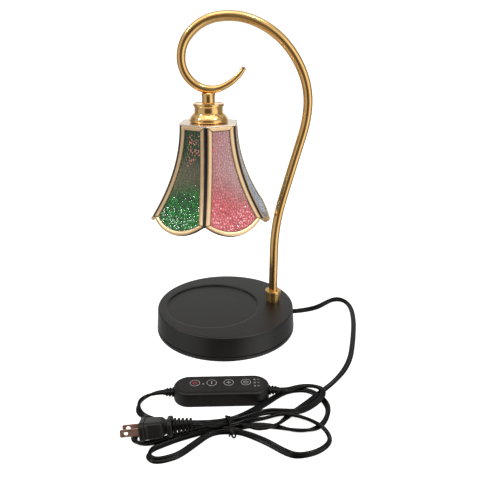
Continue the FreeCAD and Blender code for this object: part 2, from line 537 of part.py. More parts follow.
# ---------------------------------------------------------------- inline control (own frame, then placed)
SPLIT = 7.6
lower = stadium(CTL_L, CTL_W, 0, SPLIT)
lower = lower.makeFillet(1.6, edges_at(lower, 0)).cut(stadium(CTL_L - 3.6, CTL_W - 3.6, 1.8, SPLIT + 1))
upper = stadium(CTL_L, CTL_W, SPLIT, CTL_H)
upper = upper.makeFillet(2.6, edges_at(upper, CTL_H)).cut(stadium(CTL_L - 3.6, CTL_W - 3.6, SPLIT - 1, 13.4))
for sx in (-40.0, 40.0):
    lower = lower.fuse(cyl(3.3, 1.5, SPLIT, sx)).cut(cyl(2.6, -1, 2.4, sx)).cut(cyl(1.4, -1, 9, sx))
    upper = upper.fuse(cyl(3.3, SPLIT, 13.6, sx)).cut(cyl(1.0, SPLIT - 1, 12.5, sx))
for sx, sy in ((-32, -8), (-32, 8), (31, -9.4), (31, 10.4)):
    lower = lower.fuse(cyl(1.9, 1.5, 7.8, sx, sy * 0.9))
for sgn in (-1, 1):
    hole = Part.makeCylinder(3.4, 8, V(sgn * 44.65, 0, 7.45), V(sgn, 0, 0))
    lower, upper = lower.cut(hole), upper.cut(hole)
overlay = stadium(CTL_L - 8.4, CTL_W - 8.4, CTL_H - 0.25, CTL_H + 0.1)
upper = upper.cut(stadium(CTL_L - 8.3, CTL_W - 8.3, CTL_H - 0.25, CTL_H + 2))
LEDS = ((-18.07, 1.3), (33.0, 7.0), (33.0, 1.7), (33.0, -3.5))
for bx, by in BUTTONS:
    upper, overlay = upper.cut(cyl(BUTTON_R + 0.3, 10, 20, bx, by)), overlay.cut(cyl(BUTTON_R + 0.3, 10, 20, bx, by))
for bx, by in LEDS:
    upper, overlay = upper.cut(cyl(0.85, 10, 20, bx, by)), overlay.cut(cyl(0.85, 10, 20, bx, by))
save("control_lower", placed(lower, CTL))
save("control_upper", placed(upper, CTL))
save("control_face", placed(overlay, CTL))
pcb = box(-35.4, 35.4, -10.5, 10.5, 7.8, 9.4)
save("control_pcb", placed(pcb, CTL))
switches = []
for bx, by in BUTTONS:
    switches.append(box(bx - 3, bx + 3, by - 3, by + 3, 9.4, 12.0).fuse(cyl(1.7, 12.0, 12.3, bx, by)))
save("tact_switches", placed(group(switches), CTL))
save("indicator_leds", placed(group([cyl(0.75, 9.4, CTL_H + 0.1, x, y) for x, y in LEDS]), CTL))
for name, (bx, by) in zip(("button_power", "button_minus", "button_plus", "button_timer"), BUTTONS):
    b = turned([(0, 12.75), (6.3, 12.75), (6.3, 13.15), (BUTTON_R, 13.15), (BUTTON_R, 15.6, 0.35), (0, 15.6)], bx, by)
    save(name, placed(b, CTL))


def control_screw(x):
    s = cyl(2.3, 0.9, 2.4, x).fuse(cyl(0.98, 2.4, 11.5, x))
    return s.cut(box(x - 1.5, x + 1.5, -0.3, 0.3, 0.5, 1.5)).cut(box(x - 0.3, x + 0.3, -1.5, 1.5, 0.5, 1.5))


save("control_screws", placed(group([control_screw(-40.0), control_screw(40.0)]), CTL))


def control_relief(sgn):
    pts = [(0, 43.5), (3.9, 43.5), (3.9, 44.6), (3.35, 44.6), (3.35, 47.1), (4.4, 47.8, 0.3), (4.4, 49.2, 0.3), (3.3, 49.4), (3.2, 50.4), (4.0, 50.6, 0.3), (3.9, 52.0, 0.3), (3.0, 52.2), (2.9, 53.2), (3.6, 53.4, 0.3),
           (3.4, 54.8, 0.3), (2.5, 55.0), (2.2, 57.6, 0.4), (0, 57.6)]
    r = turned(pts)
    r.rotate(V(0, 0, 0), V(0, 1, 0), 90 * sgn)
    r.translate(V(0, 0, 7.45))
    return r


save("control_relief_right", placed(control_relief(1), CTL))
save("control_relief_left", placed(control_relief(-1), CTL))

# ---------------------------------------------------------------- plug (own frame: +X to the blade tips, Y from blade to blade)
Z_AXIS = PLUG_A.cross(PLUG_S)
PLUG_M = FreeCAD.Matrix(PLUG_A.x, PLUG_S.x, Z_AXIS.x, PLUG_P.x, PLUG_A.y, PLUG_S.y, Z_AXIS.y, PLUG_P.y, PLUG_A.z, PLUG_S.z, Z_AXIS.z, PLUG_P.z, 0, 0, 0, 1)
PLUG_AT = FreeCAD.Placement(PLUG_M)


def oval_wire(w, h, corner, x):
    wire = rounded([(-w / 2, -h / 2, corner), (w / 2, -h / 2, corner), (w / 2, h / 2, corner), (-w / 2, h / 2, corner)])
    m = FreeCAD.Matrix(0, 0, 1, x, 1, 0, 0, 0, 0, 1, 0, 0, 0, 0, 0, 1)
    return wire.transformGeometry(m)


def oval_solid(sections):
    return Part.makeLoft([oval_wire(*s) for s in sections], True, True)


def in_place(shape):
    s = shape.copy()
    s.Placement = PLUG_AT.multiply(s.Placement)
    return s


flange = oval_solid([(23.6, 16.0, 5.0, 0.0), (24.6, 17.0, 5.5, -0.7), (24.6, 17.0, 5.5, -3.8), (23.8, 16.2, 5.1, -4.4)])
trunk = oval_solid([(22.8, 15.2, 4.8, -4.4), (22.2, 14.8, 4.6, -14.0), (21.0, 14.2, 4.6, -19.2), (17.0, 11.6, 4.2, -21.2), (14.0, 10.6, 4.0, -23.7)])
collar_p = oval_solid([(17.6, 12.4, 4.6, -23.7), (19.0, 13.6, 5.2, -24.6), (19.0, 13.6, 5.2, -27.8), (17.6, 12.4, 4.6, -28.7)])
plug_body = flange.fuse(trunk).fuse(collar_p)
for sy in (-6.35, 6.35):
    plug_body = plug_body.cut(box(-9.0, 1.0, sy - 0.76, sy + 0.76, -3.175, 3.175))
save("plug_body", in_place(plug_body))

blades = []
for sy in (-6.35, 6.35):
    blade = box(-9.0, 17.2, sy - 0.76, sy + 0.76, -3.175, 3.175)
    blade = blade.makeChamfer(0.6, [e for e in blade.Edges if abs(e.BoundBox.XMin - 17.2) < 1e-5])
    blade = blade.cut(Part.makeCylinder(2.0, 4, V(11.89, sy - 2, 0), V(0, 1, 0)))
    blades.append(blade)
save("plug_blades", in_place(group(blades)))

relief = oval_solid([(9.4, 7.2, 3.2, -28.7), (7.4, 5.8, 2.6, -46.5)])
for i in range(5):
    a = -29.6 - 3.55 * i
    k = 1.0 - 0.045 * i
    relief = relief.fuse(oval_solid([(13.6 * k, 10.2 * k, 4.4 * k, a), (14.2 * k, 10.8 * k, 4.8 * k, a - 0.5), (14.2 * k, 10.8 * k, 4.8 * k, a - 1.5), (13.6 * k, 10.2 * k, 4.4 * k, a - 2.0)]))
save("plug_relief", in_place(relief))

# ---------------------------------------------------------------- twist tie round the bundle
def tie_loop(half_y, z0, z1, corner):
    return rounded([(-half_y, z0, corner), (half_y, z0, corner), (half_y, z1, corner), (-half_y, z1, corner)])


m_tie = FreeCAD.Matrix(0, 0, 1, 0, 1, 0, 0, 0, 0, 1, 0, 0, 0, 0, 0, 1)
ring_out = Part.Face(tie_loop(11.6, 0.0, 7.9, 2.0).transformGeometry(m_tie)).extrude(V(2.6, 0, 0))
ring_in = Part.Face(tie_loop(10.7, 0.55, 6.8, 1.5).transformGeometry(m_tie)).extrude(V(12, 0, 0))
ring_out.translate(V(-1.3, 0, 0))
ring_in.translate(V(-6, 0, 0))
tie = ring_out.cut(ring_in)
save("twist_tie", placed(tie, TIE))

# ---------------------------------------------------------------- free cords
cord("cord_1", ROUTE_1)
cord("cord_2", ROUTE_2)

total = group(list(DONE.values())).BoundBox
print("nodes", len(DONE), "box", [round(v, 1) for v in (total.XMin, total.XMax, total.YMin, total.YMax, total.ZMin, total.ZMax)])
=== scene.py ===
import math

import bpy
import numpy as np
from mathutils import Matrix, Vector


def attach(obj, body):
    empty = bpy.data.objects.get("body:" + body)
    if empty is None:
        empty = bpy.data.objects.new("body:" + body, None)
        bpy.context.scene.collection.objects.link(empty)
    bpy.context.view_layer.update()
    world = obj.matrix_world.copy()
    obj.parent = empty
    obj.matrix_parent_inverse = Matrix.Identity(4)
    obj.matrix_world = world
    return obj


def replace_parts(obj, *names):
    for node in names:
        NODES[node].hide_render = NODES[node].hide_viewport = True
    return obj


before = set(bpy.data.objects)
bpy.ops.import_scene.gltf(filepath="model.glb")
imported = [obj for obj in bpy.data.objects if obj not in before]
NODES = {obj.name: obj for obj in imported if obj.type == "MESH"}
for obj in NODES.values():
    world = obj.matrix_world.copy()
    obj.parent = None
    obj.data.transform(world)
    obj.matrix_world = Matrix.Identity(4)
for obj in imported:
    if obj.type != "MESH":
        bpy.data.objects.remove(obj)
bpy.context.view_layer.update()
MM = 0.001

# ------------------------------------------------------------------ camera
TURN = math.radians(8.93)                      # the lamp is turned this much to the camera's axes
cam_data = bpy.data.cameras.new("camera")
cam_data.sensor_width = 36.0
cam_data.lens = 40.68
cam_data.clip_start, cam_data.clip_end = 0.01, 200
cam = bpy.data.objects.new("camera", cam_data)
cam.location = (-0.07547, -0.59491, 0.33792)
cam.rotation_euler = (math.radians(69.40), 0, -TURN)
bpy.context.scene.collection.objects.link(cam)
bpy.context.scene.camera = cam


# ------------------------------------------------------------------ small helpers
def link(o):
    bpy.context.scene.collection.objects.link(o)
    return o


def volume(co, faces):
    v = 0.0
    for f in faces:
        a = co[f[0]]
        for i in range(1, len(f) - 1):
            v += float(np.dot(a, np.cross(co[f[i]], co[f[i + 1]])))
    return v


def solid(name, co, faces, material, body="lamp", sharp=38, millimetres=True):
    """a closed mesh as its own piece; its faces are turned outwards when it has fewer than 20000 faces"""
    co = np.asarray(co, float)
    some = faces if len(faces) < 20000 else None
    if some is not None and volume(co, faces) < 0:
        faces = [tuple(reversed(f)) for f in faces]
    if millimetres:
        co = co * MM
    me = bpy.data.meshes.new(name)
    me.from_pydata(co.tolist(), [], faces)
    me.validate()
    me.shade_smooth()
    me.set_sharp_from_angle(angle=math.radians(sharp))
    me.materials.append(material)
    o = link(bpy.data.objects.new(name, me))
    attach(o, body)
    return o


def loft(rings, caps=True, base=0):
    """faces of a skin over rings of equal length"""
    n, m = len(rings), len(rings[0])
    faces = []
    for i in range(n - 1):
        for j in range(m):
            k = (j + 1) % m
            faces.append((base + i * m + j, base + (i + 1) * m + j, base + (i + 1) * m + k, base + i * m + k))
    if caps:
        faces.append(tuple(base + j for j in range(m)))
        faces.append(tuple(base + (n - 1) * m + j for j in reversed(range(m))))
    return faces


def joined(parts):
    """one vertex list and face list of several closed skins"""
    co, faces, at = [], [], 0
    for c, f in parts:
        if volume(np.asarray(c, float), f) < 0:
            f = [tuple(reversed(x)) for x in f]
        co.append(np.asarray(c, float))
        faces += [tuple(at + i for i in x) for x in f]
        at += len(c)
    return np.concatenate(co), faces


def smooth(t):
    t = np.clip(t, 0.0, 1.0)
    return t * t * (3 - 2 * t)


# ------------------------------------------------------------------ cords
# from the base to the right end of the inline control, round through the tie
ROUTE_1 = [
    (0.0846, 0, 0.011), (0.0975, 0, 0.0109), (0.1209, 0.0129, 0.0067), (0.136, 0.0262, 0.0049), (0.1471, 0.0357, 0.0037),
    (0.1573, 0.0402, 0.0027), (0.1652, 0.0368, 0.002), (0.1687, 0.0277, 0.0016), (0.1685, 0.0144, 0.0015), (0.165, -0.0028, 0.0015),
    (0.1577, -0.0264, 0.0015), (0.1482, -0.051, 0.0015), (0.1383, -0.0749, 0.0015), (0.1276, -0.0987, 0.0015), (0.1134, -0.1206, 0.0015),
    (0.0957, -0.1396, 0.002), (0.0773, -0.1579, 0.0058), (0.0553, -0.1723, 0.0032), (0.0356, -0.1849, 0.0015), (0.0245, -0.1971, 0.0043),
    (0.0151, -0.2038, 0.0069), (0.0021, -0.2029, 0.0052), (-0.0075, -0.199, 0.0081), (-0.0128, -0.1938, 0.0045), (-0.0221, -0.1936, 0.0021),
    (-0.0345, -0.1913, 0.0029), (-0.0521, -0.1932, 0.0028), (-0.073, -0.198, 0.0029), (-0.0876, -0.2023, 0.0028), (-0.099, -0.2036, 0.0027),
    (-0.1071, -0.1999, 0.0024), (-0.1086, -0.1917, 0.0016), (-0.1022, -0.1855, 0.0015), (-0.0908, -0.1833, 0.0015), (-0.0754, -0.1834, 0.0015),
    (-0.0549, -0.1875, 0.003), (-0.0277, -0.1892, 0.0024), (-0.0048, -0.1825, 0.003), (0.0165, -0.1764, 0.0025), (0.0318, -0.1815, 0.0041),
    (0.0425, -0.1854, 0.0054), (0.0546, -0.179, 0.0025), (0.0671, -0.1724, 0.0042), (0.0747, -0.1666, 0.0068), (0.0762, -0.1591, 0.0087),
    (0.0719, -0.1499, 0.0057), (0.0651, -0.1448, 0.0037), (0.055, -0.1462, 0.0047), (0.0413, -0.1531, 0.007), (0.0339, -0.1522, 0.0074),
]
# from the left end of the control to the plug, round through the tie
ROUTE_2 = [
    (-0.0805, -0.1381, 0.0074), (-0.0869, -0.1373, 0.0071), (-0.0989, -0.1364, 0.0031), (-0.1055, -0.1456, 0.003), (-0.1049, -0.1594, 0.0019),
    (-0.0934, -0.17, 0.0015), (-0.0735, -0.1786, 0.0015), (-0.0475, -0.185, 0.0029), (-0.0232, -0.1851, 0.0028), (-0.0067, -0.1795, 0.0031),
    (0.0141, -0.1672, 0.0023), (0.0365, -0.15, 0.0015), (0.0532, -0.1469, 0.0016), (0.0665, -0.1506, 0.0015), (0.0757, -0.1648, 0.0015),
    (0.0759, -0.1854, 0.0027), (0.0608, -0.2064, 0.0015), (0.0399, -0.2092, 0.0027), (0.0198, -0.1977, 0.0015), (0.0045, -0.1931, 0.0015),
    (-0.0079, -0.1931, 0.0015), (-0.0154, -0.1974, 0.0023), (-0.0241, -0.1962, 0.0031), (-0.0358, -0.1942, 0.0029), (-0.0521, -0.1976, 0.0029),
    (-0.0706, -0.2024, 0.0028), (-0.0827, -0.2072, 0.0029), (-0.0921, -0.2111, 0.0029), (-0.0965, -0.2181, 0.0025), (-0.0913, -0.2249, 0.0024),
    (-0.0817, -0.225, 0.0024), (-0.0696, -0.2216, 0.0024), (-0.0558, -0.2106, 0.0024), (-0.0392, -0.198, 0.0029), (-0.0203, -0.1994, 0.0028),
    (-0.0086, -0.2047, 0.003), (0.0079, -0.2172, 0.0023), (0.0201, -0.2314, 0.0022), (0.0298, -0.2393, 0.0029), (0.0476, -0.2374, 0.0028),
    (0.0611, -0.2295, 0.003), (0.0652, -0.2188, 0.0024), (0.0614, -0.2101, 0.0057), (0.0544, -0.1987, 0.0045), (0.0486, -0.1904, 0.0021),
    (0.039, -0.1896, 0.0058), (0.0268, -0.1851, 0.0047), (0.0109, -0.1867, 0.0024), (-0.0058, -0.1874, 0.003), (-0.0156, -0.1906, 0.0026),
    (-0.0246, -0.1908, 0.0046), (-0.0343, -0.1965, 0.0087), (-0.0481, -0.2009, 0.0165), (-0.0556, -0.2002, 0.0159),
]
# roll of the flat cord at some of the route's points, in degrees: 0 lies flat, 90 stands on its edge
ROLL_1 = {0: 90, 1: 84, 2: 52, 3: 30, 4: 12, 16: 8, 17: 20, 19: 55, 20: 25, 21: 20, 22: 20, 23: 50, 38: 60, 39: 30, 40: 20, 41: 30, 42: 25, 43: 12, 44: 8, 45: 15, 46: 15, 47: 12, 48: 4, 49: 0}
ROLL_2 = {0: 0, 1: 5, 2: 60, 42: 30, 43: 35, 44: 35, 45: 25, 46: 45, 50: 20, 51: 5, 52: 0, 53: 0}


def read_nurbs(points, steps=12):
    """the points of a NURBS spline with these control points, as Blender gives them"""
    c = bpy.data.curves.new("route", "CURVE")
    c.dimensions = "3D"
    c.resolution_u = steps
    s = c.splines.new("NURBS")
    s.points.add(len(points) - 1)
    for p, q in zip(s.points, points):
        p.co = (*q, 1)
    s.order_u = 3
    s.use_endpoint_u = True
    s.resolution_u = steps
    o = bpy.data.objects.new("route", c)
    m = bpy.data.meshes.new_from_object(o)
    line = np.array([v.co for v in m.vertices], float).reshape(-1, 3)
    bpy.data.objects.remove(o)
    bpy.data.curves.remove(c)
    bpy.data.meshes.remove(m)
    return line


def default_roll(z):
    """what a flat cord lying on the floor with its middle at this height does"""
    return math.degrees(math.asin(min(1.0, max(0.0, (z * 1000 - 1.45) / 1.35))))


def twin_section():
    """outline of a twin cord: two round conductors side by side and the groove between them"""
    r, c, pts = 1.53, 1.52, []
    a = math.radians(148)
    for i in range(11):
        t = -a + 2 * a * i / 10
        pts.append((c + r * math.cos(t), r * math.sin(t)))
    for i in range(11):
        t = math.pi - a + 2 * a * i / 10
        pts.append((-c + r * math.cos(t), r * math.sin(t)))
    return np.array(pts)


def twin_cord(name, route, rolls, material):
    line = read_nurbs(route)
    roll = [rolls.get(i, default_roll(p[2])) for i, p in enumerate(route)]
    turn = np.radians(read_nurbs([(r * 0.001, 0, 0) for r in roll])[:, 0] * 1000)
    t = np.gradient(line, axis=0)
    t /= np.linalg.norm(t, axis=1)[:, None]
    h = np.cross([0, 0, 1.0], t)
    h /= np.linalg.norm(h, axis=1)[:, None]
    u = np.cross(t, h)
    w = np.cos(turn)[:, None] * h + np.sin(turn)[:, None] * u
    n = -np.sin(turn)[:, None] * h + np.cos(turn)[:, None] * u
    sec = twin_section() * MM
    rings = line[:, None, :] + sec[None, :, 0, None] * w[:, None, :] + sec[None, :, 1, None] * n[:, None, :]
    co = rings.reshape(-1, 3)
    co[:, 2] = np.maximum(co[:, 2], 0.00004)
    o = solid(name, co, loft(rings), material, millimetres=False, sharp=60)
    return o, line


# ------------------------------------------------------------------ materials
def new_material(name):
    m = bpy.data.materials.new(name)
    m.use_nodes = True
    nt = m.node_tree
    nt.nodes.clear()
    out = nt.nodes.new("ShaderNodeOutputMaterial")
    bsdf = nt.nodes.new("ShaderNodeBsdfPrincipled")
    nt.links.new(bsdf.outputs[0], out.inputs[0])
    where = nt.nodes.new("ShaderNodeTexCoord")
    return m, nt, bsdf, where.outputs["Object"]


def noise(nt, where, scale, detail=3.0, rough=0.55, stretch=None, distortion=0.0):
    if stretch is not None:
        mp = nt.nodes.new("ShaderNodeMapping")
        mp.inputs["Scale"].default_value = stretch
        nt.links.new(where, mp.inputs["Vector"])
        where = mp.outputs[0]
    n = nt.nodes.new("ShaderNodeTexNoise")
    n.inputs["Scale"].default_value = scale
    n.inputs["Detail"].default_value = detail
    n.inputs["Roughness"].default_value = rough
    n.inputs["Distortion"].default_value = distortion
    nt.links.new(where, n.inputs["Vector"])
    return n.outputs["Fac"]


def voronoi(nt, where, scale, feature="F1", randomness=1.0, smoothness=None):
    v = nt.nodes.new("ShaderNodeTexVoronoi")
    v.feature = feature
    v.inputs["Scale"].default_value = scale
    v.inputs["Randomness"].default_value = randomness
    nt.links.new(where, v.inputs["Vector"])
    return v.outputs["Distance"]


def ramp(nt, fac, stops):
    r = nt.nodes.new("ShaderNodeValToRGB")
    e = r.color_ramp.elements
    e[0].position, e[0].color = stops[0][0], (*stops[0][1], 1)
    e[1].position, e[1].color = stops[-1][0], (*stops[-1][1], 1)
    for p, c in stops[1:-1]:
        x = e.new(p)
        x.color = (*c, 1)
    nt.links.new(fac, r.inputs["Fac"])
    return r.outputs["Color"]


def span(nt, value, a, b, c, d, kind="LINEAR"):
    m = nt.nodes.new("ShaderNodeMapRange")
    m.interpolation_type = kind
    for i, x in zip(("From Min", "From Max", "To Min", "To Max"), (a, b, c, d)):
        m.inputs[i].default_value = x
    nt.links.new(value, m.inputs["Value"])
    return m.outputs["Result"]


def calc(nt, op, a, b=None):
    m = nt.nodes.new("ShaderNodeMath")
    m.operation = op
    for i, x in enumerate((a, b)):
        if x is None:
            continue
        if isinstance(x, (int, float)):
            m.inputs[i].default_value = x
        else:
            nt.links.new(x, m.inputs[i])
    return m.outputs[0]


def blend_colour(nt, fac, a, b):
    m = nt.nodes.new("ShaderNodeMix")
    m.data_type = "RGBA"
    for sock, x in ((m.inputs[0], fac), (m.inputs[6], a), (m.inputs[7], b)):
        if isinstance(x, tuple):
            sock.default_value = (*x, 1)
        elif isinstance(x, float):
            sock.default_value = x
        else:
            nt.links.new(x, sock)
    return m.outputs[2]


def bump(nt, bsdf, height, strength, distance):
    b = nt.nodes.new("ShaderNodeBump")
    b.inputs["Strength"].default_value = strength
    b.inputs["Distance"].default_value = distance
    nt.links.new(height, b.inputs["Height"])
    nt.links.new(b.outputs[0], bsdf.inputs["Normal"])


def painted(name, dark, light, roughness, metallic=0.0, grain=700.0, grain_depth=0.00006, strength=0.35, cloud=35.0, spread=0.06,
            stretch=None, specular=0.5, coat=0.0, coat_rough=0.1, ior=1.5):
    """a finish with a slow change of tone, a fine grain in colour and height, and a changing gloss"""
    m, nt, b, where = new_material(name)
    slow = noise(nt, where, cloud, 3.0, 0.6)
    fine = noise(nt, where, grain, 2.0, 0.6, stretch)
    mixed = calc(nt, "ADD", calc(nt, "MULTIPLY", slow, 0.6), calc(nt, "MULTIPLY", fine, 0.4))
    nt.links.new(ramp(nt, mixed, [(0.34, dark), (0.66, light)]), b.inputs["Base Color"])
    nt.links.new(span(nt, mixed, 0.3, 0.7, roughness - spread, roughness + spread), b.inputs["Roughness"])
    b.inputs["Metallic"].default_value = metallic
    b.inputs["Specular IOR Level"].default_value = specular
    b.inputs["IOR"].default_value = ior
    b.inputs["Coat Weight"].default_value = coat
    b.inputs["Coat Roughness"].default_value = coat_rough
    bump(nt, b, fine, strength, grain_depth)
    return m


M = {}
M["powder"] = painted("black_powder_coat", (0.0036, 0.0034, 0.0033), (0.0068, 0.0065, 0.0063), 0.40, grain=1500, grain_depth=0.00005, strength=0.30, cloud=25, spread=0.05, specular=0.45)
M["gold_satin"] = painted("gold_satin", (0.75, 0.465, 0.170), (0.85, 0.545, 0.215), 0.20, metallic=1.0, grain=1200, grain_depth=0.00001, strength=0.10, cloud=60, spread=0.03)
M["gold_polished"] = painted("gold_polished", (0.77, 0.485, 0.185), (0.85, 0.555, 0.225), 0.12, metallic=1.0, grain=900, grain_depth=0.00001, strength=0.06, cloud=80, spread=0.02)
M["gold_turned"] = painted("gold_turned", (0.76, 0.475, 0.175), (0.85, 0.55, 0.22), 0.30, metallic=1.0, grain=1200, grain_depth=0.00001, strength=0.10, cloud=60, spread=0.03)
for n in M["gold_turned"].node_tree.nodes:
    if n.type == "BSDF_PRINCIPLED":
        n.inputs["Anisotropic"].default_value = 0.85
        n.inputs["Anisotropic Rotation"].default_value = 0.25
M["champagne"] = painted("champagne_brass", (0.74, 0.52, 0.29), (0.84, 0.61, 0.36), 0.36, metallic=1.0, grain=1000, grain_depth=0.00003, strength=0.25, cloud=120, spread=0.07)
M["plate"] = painted("pale_brass", (0.80, 0.68, 0.56), (0.88, 0.77, 0.65), 0.28, metallic=1.0, grain=900, grain_depth=0.00003, strength=0.2, cloud=90, spread=0.06)
M["seam"] = painted("seam_dark", (0.004, 0.003, 0.0045), (0.009, 0.007, 0.010), 0.34, grain=800, grain_depth=0.00006, strength=0.4, cloud=140, spread=0.08)
M["came"] = painted("came_patina", (0.006, 0.0045, 0.0035), (0.014, 0.010, 0.008), 0.42, grain=900, grain_depth=0.00005, strength=0.4, cloud=200, spread=0.08)
M["plastic"] = painted("black_plastic", (0.0026, 0.0026, 0.0026), (0.0056, 0.0054, 0.0053), 0.40, grain=1700, grain_depth=0.00005, strength=0.45, cloud=60, spread=0.05, specular=0.30)
M["soft"] = painted("black_soft", (0.0016, 0.0016, 0.0016), (0.0036, 0.0036, 0.0035), 0.36, grain=1300, grain_depth=0.00004, strength=0.3, cloud=90, spread=0.06, specular=0.20)
M["cord"] = painted("cord_pvc", (0.0012, 0.0012, 0.0013), (0.0030, 0.0030, 0.0030), 0.22, grain=1100, grain_depth=0.00003, strength=0.25, cloud=70, spread=0.05, specular=0.17)
M["film"] = painted("face_film", (0.0030, 0.0028, 0.0026), (0.021, 0.020, 0.019), 0.42, grain=2300, grain_depth=0.00003, strength=0.5, cloud=500, spread=0.06, specular=0.28)
M["cap"] = painted("button_cap", (0.0035, 0.0032, 0.0034), (0.007, 0.0065, 0.007), 0.32, grain=1500, grain_depth=0.00002, strength=0.25, cloud=200, spread=0.05, specular=0.4)
M["mark"] = painted("printed_grey", (0.24, 0.24, 0.236), (0.36, 0.36, 0.352), 0.45, grain=2500, grain_depth=0.00001, strength=0.2, cloud=700, spread=0.05)
M["mark_red"] = painted("printed_red", (0.36, 0.045, 0.07), (0.50, 0.08, 0.11), 0.45, grain=2500, grain_depth=0.00001, strength=0.2, cloud=700, spread=0.05)
M["blade"] = painted("blade_metal", (0.40, 0.235, 0.175), (0.56, 0.36, 0.28), 0.36, metallic=0.9, grain=700, grain_depth=0.00003, strength=0.35, cloud=220, spread=0.08, stretch=(0.25, 2.0, 2.0))
M["zinc"] = painted("zinc_steel", (0.42, 0.43, 0.45), (0.62, 0.62, 0.63), 0.36, metallic=1.0, grain=600, grain_depth=0.00002, strength=0.3, cloud=160, spread=0.1)
M["iron"] = painted("cast_iron", (0.05, 0.047, 0.045), (0.10, 0.092, 0.085), 0.62, metallic=0.6, grain=420, grain_depth=0.0002, strength=0.5, cloud=60, spread=0.08)
M["foam"] = painted("pad_foam", (0.016, 0.016, 0.016), (0.034, 0.033, 0.032), 0.85, grain=900, grain_depth=0.0003, strength=0.7, cloud=120, spread=0.05, specular=0.25)
M["ceramic"] = painted("ceramic_white", (0.74, 0.72, 0.67), (0.84, 0.82, 0.78), 0.28, grain=500, grain_depth=0.00003, strength=0.2, cloud=80, spread=0.05)
M["pcb"] = painted("pcb_green", (0.010, 0.075, 0.030), (0.018, 0.120, 0.050), 0.35, grain=900, grain_depth=0.00002, strength=0.2, cloud=260, spread=0.06)
M["switch"] = painted("switch_body", (0.10, 0.10, 0.105), (0.20, 0.20, 0.20), 0.38, grain=1200, grain_depth=0.00002, strength=0.25, cloud=400, spread=0.06)
M["pin"] = painted("pin_steel", (0.56, 0.56, 0.57), (0.70, 0.69, 0.68), 0.22, metallic=1.0, grain=600, grain_depth=0.00002, strength=0.2, cloud=300, spread=0.06)


def reflector_glass():
    """outside of a dichroic reflector: silvery, slightly violet, with fine facets pressed round it"""
    m, nt, b, where = new_material("reflector")
    cells = voronoi(nt, where, 420, "F1", 0.2)
    slow = noise(nt, where, 60)
    nt.links.new(ramp(nt, slow, [(0.3, (0.55, 0.52, 0.58)), (0.7, (0.74, 0.72, 0.74))]), b.inputs["Base Color"])
    nt.links.new(span(nt, slow, 0.3, 0.7, 0.12, 0.24), b.inputs["Roughness"])
    b.inputs["Metallic"].default_value = 0.85
    bump(nt, b, cells, 0.5, 0.0004)
    return m


def lens_glass():
    m, nt, b, where = new_material("lens_glass")
    cells = voronoi(nt, where, 260, "F1", 0.35)
    slow = noise(nt, where, 90)
    nt.links.new(ramp(nt, slow, [(0.3, (0.78, 0.79, 0.80)), (0.7, (0.90, 0.90, 0.89))]), b.inputs["Base Color"])
    nt.links.new(span(nt, slow, 0.3, 0.7, 0.22, 0.32), b.inputs["Roughness"])
    b.inputs["Transmission Weight"].default_value = 0.45
    bump(nt, b, cells, 0.6, 0.0006)
    return m


def led_clear():
    m, nt, b, where = new_material("led_clear")
    slow = noise(nt, where, 900)
    nt.links.new(ramp(nt, slow, [(0.3, (0.10, 0.105, 0.10)), (0.7, (0.19, 0.19, 0.18))]), b.inputs["Base Color"])
    nt.links.new(span(nt, slow, 0.3, 0.7, 0.15, 0.3), b.inputs["Roughness"])
    bump(nt, b, slow, 0.2, 0.00005)
    return m


def shade_glass(name, deep, bright, line, fleck, milk_and_sheen, body=1.0, painted_glint=(0.8, 0.85, 0.8)):
    """coloured glass: slow streaks of a deeper tone, dark creases between the hammered cells painted in as shade, a few
    opaque flecks, a milky band that is partly a painted sheen, pale cell tops painted in as glints, lustre on top
    """
    m, nt, b, where = new_material(name)
    streak = noise(nt, where, 38, 4.0, 0.6, stretch=(1.0, 1.0, 0.45), distortion=0.6)
    fine = noise(nt, where, 1400, 2.0, 0.5)
    crease, spot, band = (nt.nodes.new("ShaderNodeAttribute") for _ in range(3))
    crease.attribute_name, spot.attribute_name, band.attribute_name = "crease", "fleck", "milk_and_sheen"
    # painted sheen: the milky band is partly a pale veil standing in for reflection on the glass, laid over the glass
    # colour
    veil_and_sheen = calc(nt, "MULTIPLY", band.outputs["Fac"], span(nt, streak, 0.32, 0.68, 0.72, 1.0))
    cell = nt.nodes.new("ShaderNodeAttribute")
    cell.attribute_name = "cell"
    vary = calc(nt, "ADD", calc(nt, "MULTIPLY", streak, 0.55), calc(nt, "MULTIPLY", cell.outputs["Fac"], 0.45))
    tone = ramp(nt, vary, [(0.30, deep), (0.72, bright)])
    # painted shade: the creases between the cells are darkened with the line colour, once under the milky veil and once
    # more over it
    tone = blend_colour(nt, crease.outputs["Fac"], tone, line)
    tone = blend_colour(nt, veil_and_sheen, tone, milk_and_sheen)
    tone = blend_colour(nt, calc(nt, "MULTIPLY", crease.outputs["Fac"], 0.30), tone, line)
    tone = blend_colour(nt, spot.outputs["Fac"], tone, fleck)
    # painted glints: a pale colour on the cell tops stands in for sparkling highlights
    glint_attr = nt.nodes.new("ShaderNodeAttribute")
    glint_attr.attribute_name = "painted_glint"
    tone = blend_colour(nt, glint_attr.outputs["Fac"], tone, painted_glint)
    nt.links.new(tone, b.inputs["Base Color"])
    nt.links.new(span(nt, fine, 0.3, 0.7, 0.02, 0.07), b.inputs["Roughness"])
    clear = calc(nt, "SUBTRACT", body, calc(nt, "MULTIPLY", veil_and_sheen, 0.60 * body))
    nt.links.new(calc(nt, "MULTIPLY", clear, span(nt, calc(nt, "MAXIMUM", spot.outputs["Fac"], glint_attr.outputs["Fac"]), 0.0, 1.0, 1.0, 0.25)), b.inputs["Transmission Weight"])
    b.inputs["IOR"].default_value = 1.5
    b.inputs["Coat Weight"].default_value = 0.6
    b.inputs["Coat IOR"].default_value = 1.5
    b.inputs["Coat Roughness"].default_value = 0.06
    bump(nt, b, fine, 0.10, 0.00002)
    return m


